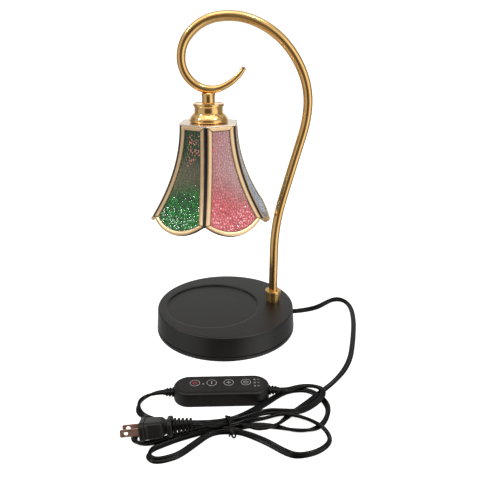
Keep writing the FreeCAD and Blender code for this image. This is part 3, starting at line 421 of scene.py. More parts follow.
M["reflector"], M["lens"], M["led"] = reflector_glass(), lens_glass(), led_clear()
M["green"] = shade_glass("glass_green", (0.003, 0.11, 0.011), (0.032, 0.66, 0.080), (0.0004, 0.008, 0.001), (0.72, 0.22, 0.19), (0.225, 0.172, 0.115), 0.62, (0.56, 0.80, 0.60))
M["red"] = shade_glass("glass_red", (0.86, 0.15, 0.175), (0.99, 0.37, 0.40), (0.36, 0.040, 0.058), (0.80, 0.11, 0.15), (0.51, 0.415, 0.405), 0.44, (0.96, 0.56, 0.57))
M["blue"] = shade_glass("glass_blue", (0.16, 0.30, 0.48), (0.28, 0.44, 0.58), (0.05, 0.10, 0.18), (0.55, 0.62, 0.70), (0.50, 0.60, 0.66), 0.75, (0.86, 0.92, 0.96))

FINISH = {
    "base_cover": "powder", "bottom_plate": "powder", "base_pad": "foam", "ballast": "iron", "cover_screws": "zinc", "ballast_screws": "zinc",
    "cord_gland": "soft", "cord_clamp": "plastic", "clamp_screws": "zinc", "terminal_block": "switch", "base_lead": "cord",
    "arm_tube": "gold_satin", "arm_collar": "gold_turned", "lock_washer": "zinc", "lock_nut": "zinc", "stem": "gold_polished", "arm_lead": "cord",
    "socket_cup": "gold_polished", "nipple": "zinc", "nipple_nut": "zinc", "socket_bracket": "zinc", "lamp_socket": "ceramic", "socket_screws": "zinc",
    "shade_lock_ring": "gold_polished", "seam_strips": "seam", "shade_top_plate": "plate", "bulb_body": "reflector", "bulb_lens": "lens", "bulb_pins": "pin",
    "control_lower": "plastic", "control_upper": "plastic", "control_face": "film", "control_pcb": "pcb", "tact_switches": "switch", "indicator_leds": "led",
    "button_power": "cap", "button_minus": "cap", "button_plus": "cap", "button_timer": "cap", "control_screws": "zinc",
    "control_relief_right": "soft", "control_relief_left": "soft", "plug_body": "plastic", "plug_blades": "blade", "plug_relief": "soft",
    "twist_tie": "soft", "cord_1": "cord", "cord_2": "cord",
}
COLOURS = ("red", "blue", "green", "red", "blue", "green")     # round the shade from the front right panel
for k in range(1, 7):
    FINISH["glass_panel_%d" % k] = COLOURS[k - 1]
    FINISH["panel_frame_%d" % k] = "champagne"

for name, o in NODES.items():
    finish = M[FINISH[name]]
    if not o.material_slots:
        o.data.materials.append(finish)
    for s in o.material_slots:
        s.link = "OBJECT"
        s.material = finish


def slotted(o):
    return o


# ------------------------------------------------------------------ the two cords
cord_1, line_1 = twin_cord("cord_to_control", ROUTE_1, ROLL_1, M["cord"])
cord_2, line_2 = twin_cord("cord_to_plug", ROUTE_2, ROLL_2, M["cord"])
for o, node in ((cord_1, "cord_1"), (cord_2, "cord_2")):
    slotted(o)
    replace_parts(o, node)


# ------------------------------------------------------------------ shade: the same outline as the CAD panels
SHADE_X, SHADE_TOP, SHADE_H, SEAM_AZ = -16.2, 250.0, 97.6, -101.5
SHADE_R0, SHADE_R1, SHADE_R2 = 32.5, 1.3, 34.2
SCALLOP_R, SCALLOP_Z = 49.4, 189.7
PANEL_TOP = 249.38
SEAM_GAP, BAR_W = 2.15, 4.2
C30 = math.cos(math.radians(30))


def vertex_r(s):
    return SHADE_R0 + SHADE_R1 * s + SHADE_R2 * s * s


def on_sheet(s, y, n):
    """(out, across, up) of a point of the bent sheet; s runs down, y across, n outwards from the sheet's middle"""
    s, y, n = np.broadcast_arrays(np.asarray(s, float), np.asarray(y, float), np.asarray(n, float))
    da, dz = C30 * (SHADE_R1 + 2 * SHADE_R2 * s), -SHADE_H
    l = np.hypot(da, dz)
    return np.stack([C30 * vertex_r(s) + n * (-dz / l), y, SHADE_TOP - SHADE_H * s + n * da / l], axis=-1)


def to_panel(k, p):
    """from a panel's own axes to the lamp's, in millimetres"""
    a = math.radians(SEAM_AZ + 30 + 60 * k)
    p = np.asarray(p, float)
    out = np.empty_like(p)
    out[..., 0] = SHADE_X + p[..., 0] * math.cos(a) - p[..., 1] * math.sin(a)
    out[..., 1] = p[..., 0] * math.sin(a) + p[..., 1] * math.cos(a)
    out[..., 2] = p[..., 2]
    return out


def s_of(z):
    return (SHADE_TOP - z) / SHADE_H


def corner_s(inset, radius):
    """where a side line, set in by inset, meets the scallop of this radius"""
    lo, hi = 0.5, 1.15
    for _ in range(50):
        s = (lo + hi) / 2
        y, z = vertex_r(s) / 2 - inset, SHADE_TOP - SHADE_H * s
        if z < SCALLOP_Z and y * y + (SCALLOP_Z - z) ** 2 > radius * radius:
            hi = s
        else:
            lo = s
    return (lo + hi) / 2


def bar_lines(g0, g1, t0, t1, r0, r1):
    """outer and inner edge of a panel's four bars as functions of 0..1: insets from the corner line, top heights, scallop radii"""
    c0, c1 = corner_s(g0, r0), corner_s(g1, r1)

    def side(sign):
        def outer(t):
            s = s_of(t0) + (c0 - s_of(t0)) * t
            return s, sign * (vertex_r(s) / 2 - g0)

        def inner(t):
            s = s_of(t1) + (c1 - s_of(t1)) * t
            return s, sign * (vertex_r(s) / 2 - g1)
        return outer, inner

    def across(z, g):
        w = vertex_r(s_of(z)) / 2 - g
        return lambda t: (np.full_like(t, s_of(z)), w * (2 * t - 1))

    def under(r, c, g):
        a = math.asin((vertex_r(c) / 2 - g) / r)
        return lambda t: (s_of(SCALLOP_Z - r * np.cos(a * (2 * t - 1))), r * np.sin(a * (2 * t - 1)))
    return {"left": side(-1), "right": side(1), "top": (across(t0, g0), across(t1, g1)), "bottom": (under(r0, c0, g0), under(r1, c1, g1))}


def bars(k, lines, gap, profile, back, edge):
    """the four mitred bars round panel k: profile(u) is the bar's height over the sheet's middle across its width"""
    us = np.concatenate([np.linspace(0, 1, 15), np.linspace(1, 0, 7)])
    front = np.concatenate([np.ones(15, bool), np.zeros(7, bool)])
    parts = []
    for name, (outer, inner) in lines.items():
        t = np.linspace(0, 1, 50)
        so, yo = outer(t)
        length = np.hypot(np.diff(so) * SHADE_H, np.diff(yo)).sum()
        near = np.array([0.0, 0.12, 0.25, 0.42, 0.65]) + gap
        mid = np.linspace(gap + 1.2, length - gap - 1.2, 58 if name in ("left", "right") else 44 if name == "bottom" else 18)
        d = np.concatenate([near, mid, length - near[::-1]])
        so, yo = outer(d / length)
        si, yi = inner(d / length)
        # the last half millimetre rolls over, so that the mitre reads as a joint
        fall = edge * (1 - smooth((np.minimum(d, length - d) - gap) / 0.6)) if edge else np.zeros(len(d))
        s = so[:, None] + (si - so)[:, None] * us[None, :]
        y = yo[:, None] + (yi - yo)[:, None] * us[None, :]
        h = np.where(front[None, :], profile(us)[None, :] - fall[:, None], back)
        p = to_panel(k, on_sheet(s, y, h))
        parts.append((p.reshape(-1, 3), loft(p)))
    return joined(parts)


def domed(u):
    """bar face: a low crown between rolled edges"""
    e = np.abs(2 * u - 1)
    return 1.62 + 0.30 * (1 - e ** 2) + 0.34 * (1 - e ** 12)


def flat(u):
    return np.full_like(u, 1.62)


BAR_OUT, BAR_IN = 1.35, 6.35                  # outer and inner edge of the side bars, from the corner line
BARS = (BAR_OUT, BAR_IN, PANEL_TOP - 0.35, PANEL_TOP - 4.3, SCALLOP_R, SCALLOP_R - 3.9)
CORE = (BAR_OUT - 0.25, BAR_IN + 0.38, PANEL_TOP, PANEL_TOP - 4.7, SCALLOP_R - 0.1, SCALLOP_R - 4.3)


def hash01(i, j, seed):
    """two even numbers in 0..1 for each cell"""
    h = (i.astype(np.int64) * 374761393 + j.astype(np.int64) * 668265263 + seed * 2147483647) & 0xFFFFFFFF
    h = ((h ^ (h >> 13)) * 1274126177) & 0xFFFFFFFF
    h = h ^ (h >> 16)
    g = ((h ^ 0x9E3779B9) * 2246822519) & 0xFFFFFFFF
    g = g ^ (g >> 15)
    return (h & 0xFFFF) / 65535.0, (g & 0xFFFF) / 65535.0


def slow_wave(p, q, seed):
    return (np.sin(p * 0.31 + seed * 1.7 + 1.9 * np.sin(q * 0.21 + seed)) + np.sin(q * 0.27 + seed * 0.6 + 1.6 * np.sin(p * 0.24 - seed))) * 0.5


def hammered(p, q, seed):
    """depth of the hammered pattern below the glass face, in millimetres: low domes parted by creases"""
    pitch = 2.7
    a = p + 0.9 * slow_wave(p, q, seed) + 0.25 * np.sin(p * 1.9 + q * 0.9)
    b = q + 0.9 * slow_wave(q, p, seed + 5) + 0.25 * np.sin(q * 2.1 - p * 0.7)
    a, b = a * 1.08, b * 0.92
    gi, gj = np.floor(a / pitch), np.floor(b / pitch)
    f1 = np.full(a.shape, 99.0)
    f2 = np.full(a.shape, 99.0)
    nearest = np.zeros(a.shape)
    for i in (-1, 0, 1):
        for j in (-1, 0, 1):
            r1, r2 = hash01(gi + i, gj + j, seed)
            d = np.hypot((gi + i + 0.1 + 0.8 * r1) * pitch - a, (gj + j + 0.1 + 0.8 * r2) * pitch - b)
            f2 = np.minimum(f2, np.maximum(f1, d))
            nearest = np.where(d < f1, r1 * 0.61 + r2 * 0.39, nearest)
            f1 = np.minimum(f1, d)
    crease = 1 - smooth((f2 - f1) / (0.50 * pitch))
    relief = 0.24 * crease ** 1.3 + 0.30 * np.clip(f1 / pitch, 0, 1) ** 2 + 0.05 * slow_wave(p * 3, q * 3, seed)
    return relief, crease, f1, nearest


def glass(k, material):
    """one pane: smooth inside, hammered outside, as wide as the channel of its bars"""
    inset, step = SEAM_GAP + BAR_W - 1.4, 0.5
    top = PANEL_TOP - BAR_W + 1.4
    r = SCALLOP_R - 2.4
    c = corner_s(inset, r)
    rows = int(100 / step)
    half = 60
    cols = 2 * half + 1
    v = np.linspace(-1, 1, cols)
    t = np.linspace(0, 1, rows + 1)
    # every column runs from the top edge down to the scallop or, near the sides, to the side line's own foot
    y_foot = (vertex_r(c) / 2 - inset) * v
    z_foot = SCALLOP_Z - np.sqrt(r * r - y_foot ** 2)
    s_foot = s_of(z_foot)
    s = s_of(top) + (s_foot[None, :] - s_of(top)) * t[:, None]
    y = (vertex_r(s) / 2 - inset) * v[None, :]
    # at the foot the column has to meet the scallop, and the side lines keep their own curve
    y_end = y[-1]
    y = y + (y_foot - y_end)[None, :] * smooth(t)[:, None] ** 2
    relief, crease, f1, cell = hammered(y + 40.0 * (k + 1), s * SHADE_H, 11 + 7 * k)
    # flecks fused into the glass near its top, or along one edge
    if COLOURS[k] == "red":
        where = smooth((-0.10 - v[None, :]) / 0.50) * smooth((0.72 - s) / 0.3) * 0.62 + 0.0 * s
    else:
        where = smooth((s - 0.06) / 0.08) * smooth((0.47 - s - 0.10 * v[None, :]) / 0.10) * smooth((v[None, :] + 0.75) / 0.5)
    fleck = smooth((0.30 * 2.9 * (0.6 + cell) - f1) / 0.35) * (cell * 0.999 < where * 0.66 + 0.0 * s)
    # painted glints: pale tops on some cells stand in for the sparkle of highlights, ever more of them towards the
    # scallop
    painted_glint = 0.95 * smooth((0.30 * 2.7 - f1) / 0.45) * ((cell * 7.31) % 1.0 < 0.60 * smooth((s - 0.80) / 0.19))
    # milky veil, partly opal glass and partly a painted sheen standing in for reflection: from the top down past the
    # middle, or across the middle only
    if COLOURS[k] == "green":
        milk_and_sheen = 0.75 * smooth((s - 0.26) / 0.22) * smooth((0.80 - s - 0.06 * v[None, :]) / 0.24)
    else:
        milk_and_sheen = (0.70 + 0.14 * v[None, :]) * smooth((0.94 - s + 0.10 * v[None, :]) / 0.46) + 0.0 * s
    rim = np.minimum(np.minimum(t, 1 - t)[:, None] * 40, (1 - np.abs(v))[None, :] * 25)
    relief = relief * smooth(rim)
    outer = to_panel(k, on_sheet(s, y, 1.5 - relief)).reshape(-1, 3)
    inner = to_panel(k, on_sheet(s, y, -1.5 + 0.10 * slow_wave(y * 1.3, s * SHADE_H * 1.1, 3 + k))).reshape(-1, 3)
    n = (rows + 1) * cols
    idx = np.arange(n).reshape(rows + 1, cols)
    a, b, c_, d = idx[:-1, :-1].ravel(), idx[1:, :-1].ravel(), idx[1:, 1:].ravel(), idx[:-1, 1:].ravel()
    front = np.stack([a, b, c_, d], 1)
    back = np.stack([d, c_, b, a], 1) + n
    loop = np.concatenate([idx[0, :-1], idx[:-1, -1], idx[-1, :0:-1], idx[:0:-1, 0]])
    nxt = np.roll(loop, -1)
    rim_faces = np.stack([loop, nxt, nxt + n, loop + n], 1)
    faces = np.concatenate([front, back, rim_faces])
    co = np.concatenate([outer, inner])
    # the front face has to look outwards
    p0, p1, p2 = co[front[5000, 0]], co[front[5000, 1]], co[front[5000, 2]]
    az = math.radians(SEAM_AZ + 30 + 60 * k)
    if np.dot(np.cross(p1 - p0, p2 - p0), [math.cos(az), math.sin(az), 0]) < 0:
        faces = faces[:, ::-1]
    o = solid("glass_%d" % (k + 1), co, faces.tolist(), material, sharp=50)
    # painted shade: the green glass is made deeper towards its top, where the view through it meets the panes behind
    if COLOURS[k] == "green":
        cell = cell * (0.10 + 0.90 * smooth((s - 0.42) / 0.30))
    for name, value in (("crease", crease ** 0.75), ("fleck", fleck), ("milk_and_sheen", milk_and_sheen), ("cell", cell), ("painted_glint", painted_glint)):
        attr = o.data.attributes.new(name, "FLOAT", "POINT")
        data = np.zeros(len(co), dtype=np.float32)
        data[:n] = (value * smooth(rim)).ravel()
        attr.data.foreach_set("value", data)
    return o


def seam(k):
    """dark strip that fills the corner between panel k - 1 and panel k"""
    g = BAR_OUT + 0.2
    end = corner_s(BAR_OUT, SCALLOP_R) + 0.004
    s = np.linspace(s_of(PANEL_TOP), end, 70)
    half = vertex_r(s) / 2 - g
    j = (k - 1) % 6
    a0, b0 = to_panel(j, on_sheet(s, half, 1.55)), to_panel(k, on_sheet(s, -half, 1.55))
    a1, b1 = to_panel(j, on_sheet(s, half, -1.5)), to_panel(k, on_sheet(s, -half, -1.5))
    az = math.radians(SEAM_AZ + 60 * k)
    out = np.array([math.cos(az), math.sin(az), 0.0])
    n = 9
    rows = []
    for i in range(n):
        t = i / (n - 1)
        rows.append(a0 + (b0 - a0) * t + out * (0.62 * math.sin(math.pi * t) ** 0.7 + 0.12 * math.sin(3 * math.pi * t)))
    rows += [b1, a1]
    rings = np.stack(rows, 1)
    return rings.reshape(-1, 3), loft(rings)


for k in range(6):
    pane = glass(k, M[COLOURS[k]])
    slotted(pane)
    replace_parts(pane, "glass_panel_%d" % (k + 1))
    co, faces = bars(k, bar_lines(*BARS), 0.2, domed, -1.9, 0.6)
    frame_bars = solid("frame_bars_%d" % (k + 1), co, faces, M["champagne"], sharp=35)
    slotted(frame_bars)
    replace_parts(frame_bars, "panel_frame_%d" % (k + 1))
    co, faces = bars(k, bar_lines(*CORE), 0.0, flat, -1.62, 0.0)
    slotted(solid("frame_core_%d" % (k + 1), co, faces, M["came"], sharp=35))
co, faces = joined([seam(k) for k in range(6)])
seams = solid("seam_solder", co, faces, M["seam"], sharp=50)
slotted(seams)
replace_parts(seams, "seam_strips")

# ------------------------------------------------------------------ inline control: rings and marks on its face
CTL = (-23.31, -145.14, -7.03)
BUTTONS = ((-26.4, 2.5), (-9.7, 2.5), (7.1, 2.5), (24.3, 2.5))
BODIES = ("power_button", "minus_button", "plus_button", "timer_button")


def at_control(p):
    a = math.radians(CTL[2])
    p = np.asarray(p, float)
    out = np.empty_like(p)
    out[..., 0] = CTL[0] + p[..., 0] * math.cos(a) - p[..., 1] * math.sin(a)
    out[..., 1] = CTL[1] + p[..., 0] * math.sin(a) + p[..., 1] * math.cos(a)
    out[..., 2] = p[..., 2]
    return out


def ring_part(cx, cy, r0, r1, z0, z1, n=56):
    """a low ring with a rounded top"""
    rings = []
    for i in range(n):
        a = 2 * math.pi * i / n
        sec = []
        for u, w in ((0, 0), (0, 0.6), (0.18, 0.9), (0.5, 1.0), (0.82, 0.9), (1, 0.6), (1, 0)):
            r = r0 + (r1 - r0) * u
            sec.append((cx + r * math.cos(a), cy + r * math.sin(a), z0 + (z1 - z0) * w))
        rings.append(sec)
    m = len(rings[0])
    co = np.array(rings).reshape(-1, 3)
    faces = []
    for i in range(n):
        for j in range(m):
            k2 = (j + 1) % m
            i2 = (i + 1) % n
            faces.append((i * m + j, i2 * m + j, i2 * m + k2, i * m + k2))
    return co, faces


def stroke_part(points, width, z0, z1, closed=False):
    """a flat line of even width with round ends"""
    pts = np.asarray(points, float)
    if closed:
        d = np.roll(pts, -1, 0) - np.roll(pts, 1, 0)
    else:
        d = np.gradient(pts, axis=0)
    d /= np.linalg.norm(d, axis=1)[:, None]
    nrm = np.stack([-d[:, 1], d[:, 0]], 1)
    h = width / 2
    left, right = pts + nrm * h, pts - nrm * h
    if closed:
        n = len(pts)
        co = np.concatenate([np.c_[left, np.full(n, z0)], np.c_[left, np.full(n, z1)], np.c_[right, np.full(n, z1)], np.c_[right, np.full(n, z0)]])
        faces = []
        for i in range(n):
            j = (i + 1) % n
            for q in range(4):
                w = (q + 1) % 4
                faces.append((q * n + i, q * n + j, w * n + j, w * n + i))
        return co, faces
    cap = []
    for centre, way, s in ((pts[-1], d[-1], 1), (pts[0], d[0], -1)):
        side = np.array([-way[1], way[0]]) * s
        cap.append([centre + side * h * math.cos(a) + way * s * h * math.sin(a) for a in np.linspace(0, math.pi, 7)[1:-1]])
    outline = np.concatenate([left, cap[0], right[::-1], cap[1]])
    n = len(outline)
    co = np.concatenate([np.c_[outline, np.full(n, z0)], np.c_[outline, np.full(n, z1)]])
    faces = [tuple(range(n)), tuple(range(2 * n - 1, n - 1, -1))]
    faces += [(i, n + i, n + (i + 1) % n, (i + 1) % n) for i in range(n)]
    return co, faces


def arc(cx, cy, r, a0, a1, n=22):
    return [(cx + r * math.cos(math.radians(a0 + (a1 - a0) * i / (n - 1))), cy + r * math.sin(math.radians(a0 + (a1 - a0) * i / (n - 1)))) for i in range(n)]


TOPZ = 15.6
for i, ((bx, by), body) in enumerate(zip(BUTTONS, BODIES)):
    co, faces = joined([ring_part(bx, by, 4.36, 5.04, TOPZ - 0.25, TOPZ + 0.10)])
    slotted(solid("ring_" + body, at_control(co), faces, M["mark"], body=body, sharp=50))
    z0, z1 = TOPZ - 0.05, TOPZ + 0.05
    if i == 0:
        parts = [stroke_part(arc(bx, by, 2.0, 40, 320), 0.62, z0, z1), stroke_part([(bx + 0.4, by), (bx + 2.5, by)], 0.62, z0, z1)]
    elif i == 1:
        parts = [stroke_part([(bx, by - 1.8), (bx, by + 1.8)], 0.95, z0, z1)]
    elif i == 2:
        parts = [stroke_part([(bx, by - 1.85), (bx, by + 1.85)], 0.95, z0, z1), stroke_part([(bx - 1.85, by), (bx + 1.85, by)], 0.95, z0, z1)]
    else:
        parts = [stroke_part(arc(bx, by, 2.1, 60, 390), 0.6, z0, z1), stroke_part([(bx, by + 1.3), (bx, by), (bx + 1.05, by)], 0.5, z0, z1)]
    co, faces = joined(parts)
    key = "mark_red" if i == 0 else "mark"
    slotted(solid("sign_" + body, at_control(co), faces, M[key], body=body, sharp=50))


def digits():
    """hours beside the three indicator lights: 2, 4 and 8, with an H"""
    parts = []
    for text, y in (("2H", 7.0), ("4H", 1.7), ("8H", -3.5)):
        c = bpy.data.curves.new("hours", "FONT")
        c.body, c.size, c.extrude = text, 2.15, 0.03
        c.align_x, c.align_y = "CENTER", "CENTER"
        c.resolution_u = 3
        o = bpy.data.objects.new("hours", c)
        m = bpy.data.meshes.new_from_object(o)
        co = np.array([v.co for v in m.vertices], float).reshape(-1, 3)
        faces = [tuple(p.vertices) for p in m.polygons]
        co[:, 0] *= 1.0
        co = co + [36.75, y, CTL_TOP + 0.05]
        parts.append((co, faces))
        bpy.data.objects.remove(o)
        bpy.data.curves.remove(c)
        bpy.data.meshes.remove(m)
    return joined(parts)


CTL_TOP = 15.3
co, faces = digits()
marks = solid("hour_marks", at_control(co), faces, M["mark"], sharp=50)
slotted(marks)

co, faces = joined([ring_part(x, y, 0.78, 1.08, CTL_TOP - 0.03, CTL_TOP + 0.07, 24) for x, y in ((-18.07, 1.3), (33.0, 7.0), (33.0, 1.7), (33.0, -3.5))])
slotted(solid("light_rims", at_control(co), faces, M["mark"], sharp=50))


def oval_ring(w, h, n=32, power=2.6):
    a = np.linspace(0, 2 * math.pi, n, endpoint=False)
    c, s = np.cos(a), np.sin(a)
    return np.stack([w / 2 * np.sign(c) * np.abs(c) ** (2 / power), h / 2 * np.sign(s) * np.abs(s) ** (2 / power)], 1)


def control_relief(name, sgn, node):
    """ribbed sleeve, oval like the flat cord, at one end of the control"""
    prof = [(43.6, 9.0, 7.2), (44.8, 9.0, 7.2), (44.9, 8.0, 6.2), (46.6, 8.0, 6.2), (46.8, 9.6, 7.8), (47.3, 10.0, 8.2), (48.5, 10.0, 8.2), (48.9, 9.4, 7.6), (49.0, 7.8, 6.0), (50.1, 7.7, 5.9),
            (50.2, 9.0, 7.2), (50.6, 9.3, 7.5), (51.7, 9.2, 7.4), (52.0, 8.7, 6.9), (52.1, 7.4, 5.6), (53.1, 7.3, 5.4), (53.2, 8.4, 6.6), (53.6, 8.7, 6.8), (54.6, 8.5, 6.6), (54.9, 8.1, 6.2), (55.0, 7.0, 5.0), (57.2, 6.7, 4.2), (57.6, 6.4, 3.8)]
    rings = []
    for x, w, h in prof:
        o = oval_ring(w, h)
        rings.append(np.c_[np.full(len(o), sgn * x), o[:, 0], 7.45 + o[:, 1]])
    rings = np.array(rings)
    o = solid(name, at_control(rings.reshape(-1, 3)), loft(rings), M["soft"], sharp=40)
    slotted(o)
    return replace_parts(o, node)


relief_r = control_relief("control_sleeve_right", 1, "control_relief_right")
relief_l = control_relief("control_sleeve_left", -1, "control_relief_left")

# ------------------------------------------------------------------ plug: moulded body with finger grips
PLUG_P = np.array((-101.71, -195.79, 12.3))
PLUG_A = np.array((-0.9925, 0.0943, -0.0785))
PLUG_S = np.array((0.1159, 0.9299, -0.3491))
PLUG_Z = np.cross(PLUG_A, PLUG_S)


def at_plug(p):
    p = np.asarray(p, float)
    return PLUG_P + p[..., 0, None] * PLUG_A + p[..., 1, None] * PLUG_S + p[..., 2, None] * PLUG_Z


def box_ring(w, h, r, nw=20, nh=22, nc=7):
    """rounded rectangle with many points along its straight sides"""
    r = min(r, w / 2 - 0.01, h / 2 - 0.01)
    pts = []
    for cx, cy, a0 in ((w / 2 - r, h / 2 - r, 0), (-w / 2 + r, h / 2 - r, 90), (-w / 2 + r, -h / 2 + r, 180), (w / 2 - r, -h / 2 + r, 270)):
        corner = [(cx + r * math.cos(math.radians(a0 + 90 * i / nc)), cy + r * math.sin(math.radians(a0 + 90 * i / nc))) for i in range(nc + 1)]
        if pts:
            n = nw if a0 in (90, 270) else nh
            a, b = pts[-1], corner[0]
            pts += [(a[0] + (b[0] - a[0]) * i / n, a[1] + (b[1] - a[1]) * i / n) for i in range(1, n)]
        pts += corner
    a, b = pts[-1], pts[0]
    pts += [(a[0] + (b[0] - a[0]) * i / nh, a[1] + (b[1] - a[1]) * i / nh) for i in range(1, nh)]
    return np.array(pts)


def plug_body():
    keys = [(0.0, 22.4, 14.8, 4.6), (-0.15, 23.4, 15.8, 5.0), (-0.5, 24.2, 16.6, 5.3), (-1.0, 24.6, 17.0, 5.5), (-3.6, 24.6, 17.0, 5.5), (-4.1, 24.2, 16.6, 5.3), (-4.4, 23.5, 15.9, 5.0),
            (-4.7, 22.6, 15.1, 4.8), (-14.0, 22.2, 14.8, 4.6), (-18.4, 21.3, 14.3, 4.6), (-19.6, 20.2, 13.7, 4.5), (-20.6, 18.4, 12.6, 4.3), (-21.6, 16.3, 11.5, 4.2), (-22.6, 14.9, 10.9, 4.1), (-23.7, 14.2, 10.6, 4.0),
            (-23.9, 18.2, 13.4, 4.9), (-24.4, 19.8, 14.9, 5.5), (-25.0, 20.6, 15.6, 5.8), (-27.5, 20.6, 15.6, 5.8), (-28.1, 19.9, 15.0, 5.5), (-28.6, 18.4, 13.6, 4.9), (-28.7, 12.0, 9.0, 3.8)]
    xs = [keys[0][0]]
    for (x0, *_), (x1, *_) in zip(keys, keys[1:]):
        n = max(1, int(math.ceil((x0 - x1) / 0.45)))
        xs += [x0 + (x1 - x0) * i / n for i in range(1, n + 1)]
    kx = np.array([k[0] for k in keys])[::-1]
    rings = []
    for x in xs:
        w, h, r = (float(np.interp(x, kx, np.array([k[i] for k in keys])[::-1])) for i in (1, 2, 3))
        o = box_ring(w, h, r)
        y, z = o[:, 0].copy(), o[:, 1].copy()
        # finger grip: a shallow oblong pressed into each narrow side, with low ridges across
        along = smooth((-6.4 - x) / 1.0) * smooth((x + 19.2) / 1.4)
        across = smooth((5.5 - np.abs(z)) / 0.9)
        ridge = 0.22 * (0.5 + 0.5 * math.cos((x + 12.8) * 2 * math.pi / 1.9))
        press = along * across * (1.05 - ridge)
        wide = np.abs(y) > w / 2 - 1.2
        y = np.where(wide, y - np.sign(y) * press, y)
        rings.append(np.c_[np.full(len(o), x), y, z])
    rings = np.array(rings)
    return rings.reshape(-1, 3), loft(rings)


co, faces = plug_body()
plug_o = solid("plug_moulding", at_plug(co), faces, M["plastic"], sharp=42)
slotted(plug_o)
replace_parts(plug_o, "plug_body")



def plug_sleeve():
    """five broad ribs on a slim core, tapering a little towards the cord"""
    keys = [(-28.4, 9.8, 7.6)]
    for i in range(5):
        x0 = -29.6 - 3.5 * i
        w, h = 14.6 - 0.75 * i, 12.6 - 0.62 * i
        keys += [(x0 + 0.02, w * 0.66, h * 0.62), (x0, w - 0.7, h - 0.7), (x0 - 0.3, w, h), (x0 - 1.7, w - 0.15, h - 0.12), (x0 - 2.0, w - 0.8, h - 0.8), (x0 - 2.02, w * 0.66, h * 0.62)]
    keys += [(-46.4, 7.4, 5.0), (-46.6, 6.9, 4.4)]
    rings = [np.c_[np.full(44, x), oval_ring(w, h, 44, 2.7)] for x, w, h in keys]
    rings = np.array(rings)
    return rings.reshape(-1, 3), loft(rings)


co, faces = plug_sleeve()
plug_ribs = solid("plug_sleeve", at_plug(co), faces, M["soft"], sharp=40)
slotted(plug_ribs)
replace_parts(plug_ribs, "plug_relief")

# ------------------------------------------------------------------ twist tie round the bundle
def cw(x, y, z):
    """from the camera's own axes (x to the right, y away) to the lamp's"""
    return (x * math.cos(TURN) + y * math.sin(TURN), -x * math.sin(TURN) + y * math.cos(TURN), z)


def ribbon(points, width, thick, steps=6, spin=None):
    """a thin flat strip along a smooth line; its face turns towards `spin` degrees about the line"""
    line = read_nurbs([tuple(c * MM for c in p) for p in points], steps) / MM
    t = np.gradient(line, axis=0)
    t /= np.linalg.norm(t, axis=1)[:, None]
    n = np.empty_like(t)
    ref = np.array([0, 0, 1.0]) if abs(t[0][2]) < 0.8 else np.array([1.0, 0, 0])
    n[0] = ref - t[0] * np.dot(ref, t[0])
    n[0] /= np.linalg.norm(n[0])
    for i in range(1, len(t)):
        n[i] = n[i - 1] - t[i] * np.dot(n[i - 1], t[i])
        n[i] /= np.linalg.norm(n[i])
    b = np.cross(t, n)
    turn = np.zeros(len(line)) if spin is None else np.radians(np.interp(np.linspace(0, 1, len(line)), np.linspace(0, 1, len(spin)), spin))
    a = np.cos(turn)[:, None] * n + np.sin(turn)[:, None] * b
    c = -np.sin(turn)[:, None] * n + np.cos(turn)[:, None] * b
    sec = []
    for i in range(16):
        q = 2 * math.pi * i / 16
        x = math.copysign(abs(math.cos(q)) ** 0.6, math.cos(q)) * width / 2
        y = math.copysign(abs(math.sin(q)) ** 0.8, math.sin(q)) * thick / 2
        y += math.copysign(0.22 * math.exp(-(x / 0.45) ** 2), y) if abs(y) > 0.05 else 0
        sec.append((x, y))
    sec = np.array(sec)
    rings = line[:, None, :] + sec[None, :, 0, None] * c[:, None, :] + sec[None, :, 1, None] * a[:, None, :]
    return rings.reshape(-1, 3), loft(rings)


def tie_parts():
    cx, cy = 9.0, -192.5                       # in the camera's own axes
    def P(u, v, z):
        return cw(cx + u, cy + v, z)
    # once and a half round the bundle
    wrap = [P(-3.6, 5.6, 7.4), P(-2.4, 3.4, 7.9), P(-0.9, 0.2, 7.9), P(0.0, -4.0, 7.5), P(0.5, -8.0, 6.7), P(0.9, -11.4, 5.0), P(1.0, -12.2, 2.8), P(0.8, -11.0, 0.6), P(0.4, -6.0, 0.45), P(0, 0, 0.45), P(-0.6, 6.0, 0.45),
            P(-1.0, 10.6, 0.7), P(-1.2, 11.2, 3.2), P(-1.3, 10.0, 5.6), P(-1.2, 6.0, 7.1), P(-0.4, 1.6, 7.5), P(0.9, -3.4, 7.2), P(1.8, -8.2, 6.3), P(2.4, -11.6, 4.8), P(2.9, -12.6, 3.4)]
    parts = [ribbon(wrap, 1.9, 0.6, 8, spin=[40, 0, 0, 10, 0, 0, 0])]
    # twisted ends: a small loop in front at the foot of the bundle, and a knot on top
    loop = [P(2.6, -12.9, 4.4), P(1.7, -13.4, 3.4), P(1.9, -13.9, 1.7), P(3.1, -14.2, 0.95), P(4.5, -14.1, 1.6), P(4.9, -13.7, 3.1), P(4.0, -13.2, 4.4), P(2.7, -12.9, 4.5)]
    parts.append(ribbon(loop, 1.5, 1.25, 8, spin=[0, 90, 160, 240]))
    parts.append(ribbon([P(-0.6, -11.8, 3.0), P(-0.9, -12.9, 2.2), P(-0.7, -13.4, 1.2)], 1.3, 0.8, 8, spin=[0, 60]))
    knot = [P(-2.6, 4.2, 7.6), P(-3.7, 4.8, 8.5), P(-4.6, 6.0, 8.4), P(-4.3, 7.1, 7.6), P(-3.2, 7.0, 7.4), P(-2.5, 6.0, 8.1), P(-2.9, 4.8, 8.4)]
    parts.append(ribbon(knot, 1.8, 1.4, 8, spin=[0, 90, 200, 300]))
    return joined(parts)


co, faces = tie_parts()
tie = solid("tie_wrap", co, faces, M["soft"], sharp=45)
slotted(tie)
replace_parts(tie, "twist_tie")

